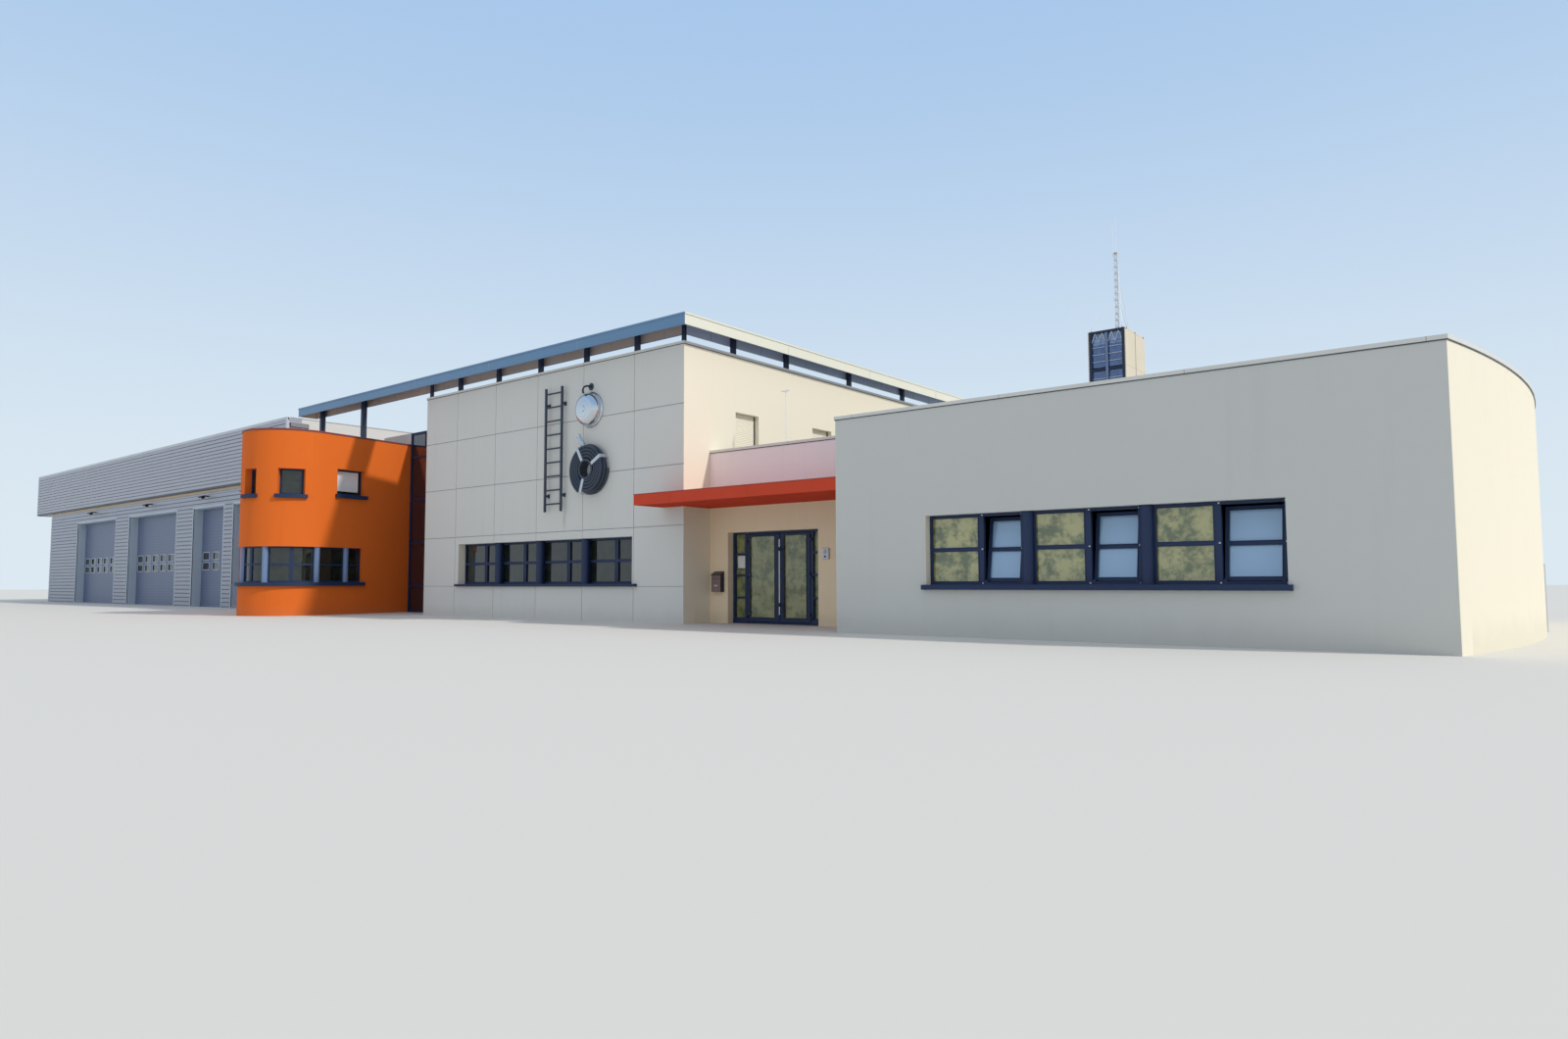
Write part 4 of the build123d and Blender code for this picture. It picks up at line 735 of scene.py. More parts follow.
@dataclass(frozen=True)
class Glass(Finish):
    """Coated double glazing: dark, mirror-like and a little dusty, with painted reflections in its tints."""

    # Second tint of the cloud: painted reflection.
    mottle: str
    clear: float = 0.15
    index: float = 1.9
    # Third tint, a painted sky reflection, and where it goes along X.
    second: str = "#ffffff"
    sky_reflection_spans: tuple[Pair, ...] = ()

    def inputs(self, w: Wires) -> Feeds:
        """Tinted glass, a little dusty; the cloud between two tints paints blurred reflections, and a third
        tint within the sky_reflection_spans along X paints the sky in the tilted sashes.

        Args:
            w: Wires of the material's tree.

        Returns:
            What each input of the shader gets.
        """
        where, x, _, _ = w.place()
        dust = w.noise(w.stretched(where, (3.0, 3.0, 1.0)), 1.3, 5.0, 0.6)
        cloud = w.noise(where, 7.0, 5.0, 0.7)
        colour = w.mix(w.step(cloud, 0.40, 0.62), linear(self.colour), linear(self.mottle))
        for start, end in self.sky_reflection_spans:
            inside = w.times(w.math("GREATER_THAN", x, start), w.math("LESS_THAN", x, end))
            colour = w.mix(inside, colour, linear(self.second))
        return {
            "Base Color": colour, "Roughness": w.step(dust, 0.4, 0.8, 0.008, 0.02), "IOR": self.index,
            "Transmission Weight": self.clear,
        }


@dataclass(frozen=True)
class Gravel(Finish):
    """Gravel on a roof deck."""

    def inputs(self, w: Wires) -> Feeds:
        """Stones as cells, each with its own shade, over a dark bed.

        Args:
            w: Wires of the material's tree.

        Returns:
            What each input of the shader gets.
        """
        where = w.place()[0]
        cells = w.node("ShaderNodeTexVoronoi", {"Vector": where, "Scale": 38.0}, feature="F1").outputs
        shade = w.node("ShaderNodeSeparateColor", {0: cells["Color"]}).outputs[0]
        stone = w.mix(shade, linear("#6f6a62"), linear(self.colour))
        moss = w.step(w.noise(where, 0.7, 5.0), 0.5, 0.72)
        return {
            "Base Color": w.mix(w.times(moss, 0.35), stone, linear("#5c6048")), "Roughness": 0.92,
            "Normal": w.bump(cells["Distance"], 0.5, 0.006),
        }


@dataclass(frozen=True)
class Concrete(Finish):
    """Cast floor slabs and ceilings."""

    def inputs(self, w: Wires) -> Feeds:
        """Cloudy grey with pores.

        Args:
            w: Wires of the material's tree.

        Returns:
            What each input of the shader gets.
        """
        where = w.place()[0]
        cloud = w.noise(where, 1.7, 6.0, 0.6)
        pores = w.noise(where, 45.0, 3.0, 0.7)
        tone = w.mix(w.step(cloud, 0.3, 0.7), linear(self.colour), linear("#8f8c86"))
        return {
            "Base Color": w.mix(w.step(pores, 0.62, 0.75), tone, linear("#77746e")),
            "Roughness": w.step(cloud, 0.3, 0.7, 0.7, 0.85), "Normal": w.bump(pores, 0.3, 0.0008),
        }


# Cream that the walls facing +X show in the sun: painted sunlight as the side colour of the grey panels and
# render, and the whole colour of the plain panels on the right and back walls; the shutters take it too.
CREAM = "#efe8d4"


@dataclass(frozen=True)
class Finishes:
    """Every finish of the building."""

    # Faces towards +X are painted sunlit cream.
    panel: Finish = WallCoat(
        "panel_cladding", "#dbdcd7", mottle=0.05, runs=0.03, foot=0.12, grain=60.0, relief=0.0006,
        joints_z=(0.430, 0.7115), joints_x=(PANEL_JOINT, PANEL_PITCH), rust=(-3.153, 1.40, 0.34), side=CREAM,
    )
    panel_plain_sunlit: Finish = WallCoat("panel_plain_sunlit", CREAM, mottle=0.04, runs=0.025, grain=60.0)
    # Faces towards +X are painted sunlit cream.
    render: Finish = WallCoat("cream_render", "#cfd1cc", runs=0.03, side=CREAM)
    # Beige below the canopy and pinkish white above it paint the warm bounced light under the canopy and the
    # sky light over it, on one paint.
    entry: Finish = WallCoat("entry_render", "#fae6c4", soil=0.15, foot=0.10, above=(1.42, "#f6f0f0"))
    orange: Finish = WallCoat("orange_render", "#e46e24", mottle=0.12, soil=0.1, foot=0.1)
    pale: Finish = WallCoat("pale_render", "#dcdad6", soil=0.3)
    frame: Finish = Metal("slate_blue_frame", "#122a50", rough=0.55, change=0.2, dust=0.15)
    sill: Finish = Metal("slate_blue_sill", "#112a50", rough=0.6, change=0.25, dust=0.25)
    steel: Finish = Metal("slate_blue_steel", "#1d2b47", rough=0.5, change=0.25, dust=0.25)
    coping: Finish = Metal("coping_metal", "#dcdbd4", metallic=0.1, change=0.12, dust=0.25,
                           lines=(0, 0.21, 1.5, 0.004), line_colour="#8d9093")
    # Blue-grey paints the sky reflected on the shaded faces, and the cream side colour paints sunlight on
    # faces towards +X: lit and shaded copies of one grey sheet.
    fascia: Finish = Metal("fascia_sheet", "#6d8fae", rough=0.35, metallic=0.35, change=0.14, dust=0.1,
                           side="#f6f0da")
    # The blue tint paints the sky-lit shade inside the side length; the front lining's warm beige paints
    # warmer light. Both are one sheet.
    painted_shade_lining: Finish = Metal("side_roof_lining_painted_shade", "#c3d0ea", rough=0.55, change=0.2, dust=0.0,
                                lines=(1, 0.0, 0.477, 0.005), line_colour="#525d6b")
    soffit: Finish = Metal("front_roof_lining", "#c3b0a6", rough=0.6, change=0.3, dust=0.0,
                           lines=(0, 0.0, 0.477, 0.005), line_colour="#7b736d")
    vermilion: Finish = Metal("vermilion_steel", "#d03c0e", rough=0.62, change=0.16, dust=0.1)
    # Dark lines at the rib grooves: painted shade in the grooves.
    ribbed: Finish = Metal("ribbed_sheet", "#b2b3bc", rough=0.42, metallic=0.25, change=0.12, dust=0.1,
                           lines=(2, 2.4415, 0.0735, 0.009))
    ribbed_low: Finish = Metal("ribbed_sheet_low", "#a9adb9", metallic=0.2, change=0.12, dust=0.1,
                               lines=(2, 0.0217, 0.0846, 0.010))
    lining: Finish = Metal("door_lining", "#bccad4", change=0.15, dust=0.2)
    door: Finish = Metal("sectional_door", "#65718f", rough=0.4, change=0.12, dust=0.2,
                         lines=(2, 0.0, 0.0625, 0.006), line_colour="#4f5b75")
    flashing: Finish = Metal("beige_flashing", "#c2a984", rough=0.5, change=0.15)
    # Dark strips under copings, the orange cap and the hall band: painted shadow.
    painted_shadow_strip: Finish = Metal("painted_shadow_strip", "#4c535d", rough=0.5)
    light_trim: Finish = Metal("light_trim", "#c9ccd0", rough=0.38, metallic=0.3)
    cap: Finish = Metal("orange_cap", "#a4402f", change=0.2, dust=0.25)
    white: Finish = Metal("white_plate", "#e6e6e2", change=0.06, dust=0.15)
    stainless: Finish = Metal("stainless", "#c6c8cb", rough=0.22, metallic=1.0, change=0.1, dust=0.1)
    # Blue of the sheets inside the tower: painted shade.
    painted_shade_blue: Finish = Metal("deep_blue_sheet", "#86aae0", rough=0.5, change=0.2, dust=0.0)
    column: Finish = Metal("column_blue", "#6f86ab", rough=0.35, change=0.15, dust=0.0, coat=0.2)
    black: Finish = Metal("black_fitting", "#1b1c1f", dust=0.25)
    box: Finish = Metal("letterbox_coat", "#8b7272", rough=0.4, change=0.25)
    relief: Finish = Metal("relief_slate", "#3c4654", metallic=0.35, change=0.5, scuff=24.0, relief=0.004)
    polished: Finish = Metal("relief_polished", "#cfd3d8", rough=0.16, metallic=1.0, change=0.15, dust=0.1)
    bands: Finish = Metal("relief_bands", "#c8ccd2", rough=0.3, metallic=0.7, change=0.2, dust=0.1)
    tower: Finish = Metal("tower_sheet", "#d8cdb6", rough=0.5, change=0.18, dust=0.15,
                          lines=(2, 0.4, 0.8, 0.006), line_colour="#9b9079")
    mast_bars: Finish = Metal("mast_bars", "#8d939c", rough=0.5, metallic=0.2, change=0.1, dust=0.1)
    mast: Finish = Metal("mast_steel", "#f4f5f5", change=0.1, dust=0.1)
    shutter: Finish = Metal("cream_shutter", CREAM, rough=0.6, change=0.08, dust=0.1)
    blind: Finish = Metal("pale_blind", "#eceef0", rough=0.6, change=0.08, dust=0.1)
    glass: Finish = Glass("window_glass", "#34392e", "#1e2220", clear=0.4, index=1.65)
    # The olive tints paint reflected trees; the pale blue within the spans paints the sky in the tilted
    # sashes.
    wing_glass: Finish = Glass("wing_glass", "#bdb97c", "#5f6c41", second="#a6cbee",
                               sky_reflection_spans=((2.984, 3.385), (3.918, 4.352), (4.888, 5.370)))
    link_glass: Finish = Glass("link_glass", "#2c3346", "#22283c", clear=0.5)
    # The olive tints paint reflected greenery.
    door_glass: Finish = Glass("door_glass", "#a7ab72", "#66744a", clear=0.25, index=1.7)
    tower_glass: Finish = Glass("tower_glass", "#3f6fb5", "#2f5898")
    head_glass: Finish = Glass("head_glass", "#9dbbe6", "#6f8fc4", clear=0.1)
    gravel: Finish = Gravel("roof_gravel", "#a39d92")
    concrete: Finish = Concrete("cast_concrete", "#a8a59f")


F = Finishes()


@dataclass
class Site:
    """Main sizes of the building, the same values as in the part's source."""

    corner_x: float = -0.990
    front_y: float = -0.545
    mid_left_x: float = -6.470
    mid_back_y: float = 13.567
    mid_top: float = 3.300
    entry_y: float = -0.095
    entry_top: float = 2.048
    wing_x: float = 1.510
    wing_right: float = 6.318
    wing_front_y: float = -1.025
    wing_back_y: float = 5.361
    wing_top: float = 2.052
    bow: float = 0.425
    nose: Pair = (-8.432, -1.632)
    nose_radius: float = 0.711
    lean: float = 9.6
    link_y: float = 0.073
    round_top: float = 2.781
    hall_right: float = -11.087
    hall_left: float = -25.427
    band_left: float = -26.662
    hall_back: float = 6.665
    band_foot: float = 2.420
    hall_top: float = 3.514
    band_out: float = 0.040
    doors: tuple[Pair, ...] = (
        (-13.397, -11.862), (-15.406, -13.871), (-19.253, -16.348), (-23.100, -20.195)
    )
    door_head: float = 2.050

    def nose_arc(self, start: float, end: float, radius: float, steps: int) -> Array:
        """Plan points on a circle round the nose's axis.

        Args:
            start: First angle from +X in degrees.
            end: Last angle.
            radius: Radius of the circle.
            steps: Number of points.

        Returns:
            Points, shaped (steps, 2).
        """
        turn = np.radians(np.linspace(start, end, steps))
        return self.nose + radius * np.stack([np.cos(turn), np.sin(turn)], axis=1)

    def bow_line(self, steps: int) -> Array:
        """Plan points of the bowed end wall: an arc through both corners whose rise is the bow.

        Args:
            steps: Number of points.

        Returns:
            Points, shaped (steps, 2).
        """
        half, middle = (self.wing_back_y - self.wing_front_y) / 2, (self.wing_back_y + self.wing_front_y) / 2
        radius = (half ** 2 + self.bow ** 2) / (2 * self.bow)
        y = np.linspace(self.wing_front_y, self.wing_back_y, steps)
        x = self.wing_right + self.bow - radius + np.sqrt(radius ** 2 - (y - middle) ** 2)
        return np.stack([x, y], axis=1)

    def round_side(self) -> Basis:
        """Outer face of the round block's straight wall, from the nose's end.

        Returns:
            Plane of the face.
        """
        turn = math.radians(self.lean)
        x, y = self.nose_arc(self.lean, self.lean, self.nose_radius, 1)[0]
        out = (math.cos(turn), math.sin(turn), 0.0)
        return Basis((x, y, 0.0), (-out[1], out[0], 0.0), Z, out)


@dataclass
class Part:
    """A part of the building that gives CAD nodes their finishes and adds pieces of its own."""

    site: Site

    def dress(self) -> None:
        """Finishes of the CAD nodes; a part without any leaves this as it is."""

    def build(self) -> None:
        """All pieces of the part."""
        raise NotImplementedError


@dataclass
class OfficeWalls(Part):
    """Walls, floors and roofs of the middle block, the entrance and the bowed wing."""

    low_wall_y: float = 12.26
    # Heights below the top of the painted shadow strip under each coping.
    painted_shadow: Pair = (0.038, 0.029)

    def dress(self) -> None:
        """Finishes of the carried-over walls, decks and copings."""
        F.panel.cover("mid_front_wall")
        F.panel_plain_sunlit.cover("mid_right_wall", "mid_back_walls", "right_end_wall")
        F.render.cover("right_front_wall", "right_left_wall", "low_rear_wall")
        F.entry.cover("entry_wall_left", "entry_wall_right", "entry_wall_over")
        F.coping.cover("mid_coping", "low_coping")
        F.gravel.cover("roof_decks", "hall_roof")
        F.concrete.cover("floor_slabs", "upper_floors")
        F.sill.cover("window_sills", "orange_sills")
        F.frame.cover("mid_window_frames", "right_window_frames", "side_window_frames")
        F.frame.cover("orange_window_frames")
        F.glass.cover("mid_window_glass", "side_window_glass", "orange_window_glass")
        F.wing_glass.cover("right_window_glass")

    def build(self) -> None:
        """Dark strips under the copings: painted shadow of the coping edges."""
        s = self.site
        mid = [(s.mid_left_x, s.mid_back_y), (s.mid_left_x, s.front_y), (s.corner_x, s.front_y),
               (s.corner_x, self.low_wall_y)]
        wing = [(s.wing_x, s.entry_y), (s.wing_x, s.wing_front_y), *s.bow_line(49)]
        entry = [(s.corner_x, s.entry_y), (s.wing_x - 0.010, s.entry_y)]
        shell = Shell()
        for path, top in ((mid, s.mid_top), (wing, s.wing_top), (entry, s.entry_top)):
            shell.run(path, box_profile(0.0, 0.007, top - self.painted_shadow[0], top - self.painted_shadow[1], 0.002))
        shell.piece("coping_painted_shadows", F.painted_shadow_strip, "coping_metal")


@dataclass
class Windows(Part):
    """Beads, column covers, catches and blinds of the windows."""

    bar: float = 0.024
    mid_edges: tuple[float, ...] = (-5.562, -5.033, -4.666, -4.127, -3.736, -3.193, -2.803, -2.259, -1.860)
    mid_span: Pair = (0.462, 1.037)
    wing_bays: tuple[Triple, ...] = ((2.483, 2.984, 3.371), (3.455, 3.918, 4.338), (4.422, 4.888, 5.354))
    wing_span: Pair = (0.450, 1.059)
    wing_columns: Pair = (3.413, 4.380)
    column_depth: float = 0.070
    column_radius: float = 0.0555
    catches_z: Triple = (0.462, 0.754, 1.046)
    guides_z: Pair = (1.961, 2.579)
    tilt: float = 9.0
    shutter_in: float = 0.072
    shutter_head: float = 2.578
    shutters_at: tuple[Pair, ...] = ((0.363, 1.975), (1.945, 2.265))

    def build(self) -> None:
        """All small pieces of the strips and of the side windows."""
        self.beads()
        self.columns()
        self.catches()
        self.shutters()

    def lights(self, x0: float, x1: float, z0: float, z1: float) -> list[tuple[float, float, float, float]]:
        """Left, right, foot and head of both lights of a sash.

        Args:
            x0: Left edge of the sash.
            x1: Its right edge.
            z0: Its foot.
            z1: Its head.

        Returns:
            Four edges for each light.
        """
        height = (z1 - z0 - 3 * self.bar) / 2
        feet = (z0 + self.bar, z0 + 2 * self.bar + height)
        return [(x0 + self.bar, x1 - self.bar, foot, foot + height) for foot in feet]

    def beads(self) -> None:
        """Thin bead round each light; the last sash of a wing bay leans into the room."""
        s, turn = self.site, math.radians(self.tilt)
        mid, wing = front_plane(s.front_y + 0.113), front_plane(s.wing_front_y + 0.075)
        leaning = Basis((0.0, s.wing_front_y + 0.112, 0.478), X, (0.0, math.sin(turn), math.cos(turn)),
                        (0.0, -math.cos(turn), math.sin(turn)))
        edges = self.mid_edges
        sets = [(mid, self.lights(x0, x1, *self.mid_span)) for x0, x1 in zip(edges, edges[1:])]
        for start, middle, end in self.wing_bays:
            sets.append((wing, self.lights(start, middle, *self.wing_span)))
            sets.append((leaning, self.lights(middle + 0.028, end - 0.028, 0.0, 0.553)))
        shell = Shell()
        for basis, lights in sets:
            for light in lights:
                shell.run(rectangle(*light), box_profile(-0.006, 0.0005, -0.001, 0.004, 0.001), basis, True)
        shell.piece("strip_window_beads", F.frame, "slate_blue_frame")

    def columns(self) -> None:
        """Smooth round covers of the strips' columns."""
        shell, depth, radius = Shell(), self.column_depth, self.column_radius
        for x in self.mid_edges[2:-1:2]:
            shell.column(x, self.site.front_y + depth, self.mid_span, radius, 0.010, 40)
        for x in self.wing_columns:
            shell.column(x, self.site.wing_front_y + depth, self.wing_span, radius, 0.010, 40)
        shell.piece("strip_columns", F.frame, "slate_blue_frame", smooth=True)

    def catches(self) -> None:
        """Small pale catches at the corners of the tilted sashes and at their middle bars."""
        shell = Shell()
        y = self.site.wing_front_y + 0.075
        for _, middle, end in self.wing_bays:
            for x in (middle + 0.012, end - 0.012):
                for z in self.catches_z:
                    shell.box((x - 0.007, y - 0.007, z - 0.006), (x + 0.007, y + 0.001, z + 0.006))
        shell.piece("sash_catches", F.light_trim, "brushed_pull", smooth=True)

    def shutters(self) -> None:
        """Roller blinds of the first two side windows: a sheet of lamellas, its bottom bar and its guides."""
        shell, guides = Shell(), Shell()
        x = self.site.corner_x - self.shutter_in
        for y, foot in self.shutters_at:
            start, end = y + 0.012, y + 0.428
            sheet = lamellas(foot, self.shutter_head, 120, 0.0022, 0.006)
            shell.slab(sheet, side_plane(x).end_on(), (start, end))
            shell.box((x - 0.008, start, foot - 0.014), (x + 0.005, end, foot + 0.004), 0.003)
            for at in (y + 0.001, y + 0.427):
                low, high = self.guides_z
                guides.box((x - 0.015, at, low), (x + 0.010, at + 0.012, high), axis=2)
        shell.piece("side_window_shutters", F.shutter, "coping_metal")
        guides.piece("shutter_guides", F.frame, "slate_blue_frame")


@dataclass
class Entrance(Part):
    """Doors, canopy and fittings at the entrance."""

    leaf_foot: float = 0.026
    leaf_head: float = 1.026
    hinges: Triple = (0.078, 0.531, 0.948)
    pull_x: float = 0.0285
    pull_y: float = -0.045
    collars_z: Pair = (0.222, 0.849)
    plate_from: Triple = (-0.650, 0.019, 0.642)
    plate_to: Triple = (-0.536, 0.0255, 0.786)
    letterbox_x: Pair = (-0.912, -0.766)
    letterbox_z: Pair = (0.363, 0.603)
    letterbox_out: float = 0.062
    strip_z: Pair = (0.428, 0.448)
    stud_z: float = 0.395
    intercom_out: float = 0.024
    face_x: Pair = (0.679, 0.763)
    face_z: Pair = (0.720, 0.840)
    button: Pair = (0.721, 0.750)
    slots_z: Pair = (0.782, 0.820)
    flashing_z: Pair = (1.472, 1.482)
    cover_z: Pair = (1.463, 1.469)
    seams_z: Pair = (1.356, 1.471)
    canopy_seams: Pair = (-0.740, 0.385)

    def dress(self) -> None:
        """Finishes of the doors, the canopy and the fittings."""
        F.frame.cover("door_frame", "door_leaf_left", "door_leaf_right")
        F.door_glass.cover("sidelight_glass", "door_glass_left", "door_glass_right")
        F.stainless.cover("door_pull")
        F.vermilion.cover("canopy_frame", "canopy_slats")
        F.box.cover("entry_boxes")

    def build(self) -> None:
        """All small pieces round the doors."""
        self.leaf_trim("left", (-0.443, -0.071), -0.460)
        self.leaf_trim("right", (0.063, 0.382), 0.410)
        self.pull_collars()
        self.plate()
        self.letterbox()
        self.intercom()
        self.canopy_trim()

    def leaf_trim(self, side: str, light: Pair, hinge_x: float) -> None:
        """Glazing bead and hinge caps of one leaf.

        Args:
            side: left or right.
            light: Left and right edge of its light.
            hinge_x: Middle of its hinges.
        """
        body = f"{side}_leaf"
        path = rectangle(*light, self.leaf_foot + 0.042, self.leaf_head - 0.018)
        bead = Shell().run(path, box_profile(-0.007, 0.0005, -0.001, 0.004, 0.001), front_plane(-0.003), True)
        bead.piece(f"door_bead_{side}", F.black, "slate_blue_frame", body=body)
        caps = Shell()
        for z in self.hinges:
            lo, hi = (hinge_x - 0.008, -0.006, z + 0.019), (hinge_x + 0.008, -0.002, z + 0.049)
            caps.box(lo, hi, corner=0.004)
        caps.piece(f"hinge_caps_{side}", F.light_trim, "brushed_pull", body=body, smooth=True)

    def pull_collars(self) -> None:
        """Black collars where the pull bar meets its standoffs: turned shapes."""
        shell = Shell()
        for z in self.collars_z:
            profile = [[0.0115, -0.022], [0.013, -0.018], [0.013, 0.018], [0.0115, 0.022]]
            shell.turned(profile, Basis((self.pull_x, self.pull_y, z)), 20)
        shell.piece("pull_collars", F.black, "slate_blue_frame", body="right_leaf", smooth=True)

    def plate(self) -> None:
        """Bare pale plate on the left sidelight."""
        shell = Shell().box(self.plate_from, self.plate_to, corner=0.006)
        shell.piece("sidelight_plate", F.white, "coping_metal", smooth=True)

    def letterbox(self) -> None:
        """Dark lid, side and flap of the letterbox, and its bare name strip."""
        (x0, x1), (z0, z1) = self.letterbox_x, self.letterbox_z
        wall, out = self.site.entry_y, self.site.entry_y - self.letterbox_out
        section = front_plane(wall).end_on()
        lid = [[0.0, z1 + 0.003], [0.067, z1 - 0.034], [0.067, z1 - 0.044], [0.062, z1 - 0.044],
               [0.062, z1 - 0.0365], [0.0, z1 - 0.0005]]
        side = [[0.0005, z0], [0.0625, z0], [0.0625, z1 - 0.036], [0.0005, z1 - 0.002]]
        shell = Shell().slab(lid, section, (x0 - 0.002, x1 + 0.003))
        shell.slab(side, section, (x1 - 0.001, x1 + 0.0015))
        shell.box((x0 + 0.012, out - 0.003, z1 - 0.084), (x1 - 0.012, out + 0.001, z1 - 0.080), 0.001)
        shell.piece("letterbox_lid", F.black, "fitting_metal")
        low, high = self.strip_z
        strip = Shell().box((x0 + 0.045, out - 0.003, low), (x1 - 0.045, out + 0.001, high), 0.0012)
        stud = front_plane(out, (x0 + x1) / 2, self.stud_z)
        strip.turned([[0.006, 0.0], [0.006, 0.002]], stud, 16, dome=0.001)
        strip.piece("letterbox_strip", F.light_trim, "fitting_metal", smooth=True)

    def intercom(self) -> None:
        """Pale face, button and sound slots of the intercom."""
        y, (x0, x1), (z0, z1) = self.site.entry_y - self.intercom_out, self.face_x, self.face_z
        face = Shell().box((x0, y - 0.003, z0), (x1, y + 0.023, z1), 0.003, corner=0.006)
        face.piece("intercom_face", F.light_trim, "fitting_metal", smooth=True)
        place = front_plane(y - 0.002, *self.button)
        keys = Shell().turned([[0.012, 0.0], [0.012, 0.004]], place, 18, dome=0.002)
        for z in np.linspace(*self.slots_z, 5):
            keys.box((x0 + 0.024, y - 0.0045, z - 0.0018), (x1 - 0.024, y - 0.002, z + 0.0018), 0.001)
        keys.piece("intercom_keys", F.black, "fitting_metal", smooth=True)

    def canopy_trim(self) -> None:
        """Flashing on the canopy's top edge, the sheet over its slats and the cover strips of its seams."""
        s = self.site
        front, left, right = s.wing_front_y + 0.010, s.corner_x - 0.330, s.wing_x
        path = [[left, s.front_y - 0.002], [left, front], [right - 0.002, front]]
        flashing = Shell().run(path, box_profile(-0.024, 0.003, *self.flashing_z, 0.001))
        flashing.piece("canopy_flashing", F.cap, "vermilion_steel")
        low, high = self.cover_z
        lo, hi = (left + 0.026, front + 0.026, low), (right - 0.026, s.entry_y - 0.026, high)
        Shell().box(lo, hi, axis=2).piece("canopy_cover", F.vermilion, "vermilion_steel")
        seams, (low, high) = Shell(), self.seams_z
        for x in self.canopy_seams:
            seams.box((x - 0.004, front - 0.002, low), (x + 0.004, front + 0.001, high), 0.001)
        seams.piece("canopy_seams", F.vermilion, "vermilion_steel")


@dataclass
class RoundBlock(Part):
    """Orange block with the round nose, and the link beside it."""

    column_ring: float = 0.651
    column_angles: Triple = (-101.0, -55.4, 8.0)
    column_span: Pair = (0.496, 1.030)
    column_radius: float = 0.0455
    last_column: Triple = (0.472, 0.0, -0.060)
    blind_span: Pair = (1.915, 2.224)
    blind_sides: Pair = (0.280, 0.690)
    blind_in: float = 0.102

    def dress(self) -> None:
        """Finishes of the block and the link."""
        F.orange.cover("orange_nose_wall", "orange_side_wall", "orange_back_walls")
        F.pale.cover("link_walls", "hall_right_wall")
        F.frame.cover("link_frame")
        F.link_glass.cover("link_glass")

    def outline(self) -> Array:
        """Plan line of the outer face from the hall round the nose to the link.

        Returns:
            Points, shaped (67, 2).
        """
        s = self.site
        arc = s.nose_arc(-180.0, s.lean, s.nose_radius, 64)
        turn = math.radians(s.lean)
        end = arc[-1] + (s.link_y - arc[-1, 1]) * np.array([-math.tan(turn), 1.0])
        return np.array([[s.hall_right, s.front_y], [s.nose[0] - s.nose_radius, s.front_y], *arc, end])

    def build(self) -> None:
        """Cap on the wall with a dark strip under it that paints the cap's shadow, the ribbon window's
        columns and a blind.
        """
        top, outline = self.site.round_top, self.outline()
        cap = Shell().run(outline, box_profile(-0.158, 0.010, top, top + 0.016, 0.003))
        cap.piece("orange_cap", F.cap, "orange_render")
        # Dark strip under the cap: painted shadow.
        line = Shell().run(outline, box_profile(-0.002, 0.006, top - 0.012, top + 0.001, 0.002))
        line.piece("orange_cap_painted_shadow", F.painted_shadow_strip, "orange_render")
        wall = self.site.round_side()
        centres = [self.site.nose_arc(a, a, self.column_ring, 1)[0] for a in self.column_angles]
        centres.append(wall.place(*self.last_column)[:2])
        shell = Shell()
        for x, y in centres:
            shell.column(x, y, self.column_span, self.column_radius, 0.009, 36)
        shell.piece("ribbon_columns", F.column, "slate_blue_frame", smooth=True)
        sheet = lamellas(*self.blind_span, 90, 0.0018, 0.003) - [self.blind_in, 0.0]
        Shell().slab(sheet, wall.end_on(), self.blind_sides).piece("orange_blind", F.blind, "coping_metal")


class Ribs(Enum):
    """Pitches of the hall's ribbed sheets on the upper and the lower storey."""

    UPPER = 0.0735
    LOWER = 0.0846


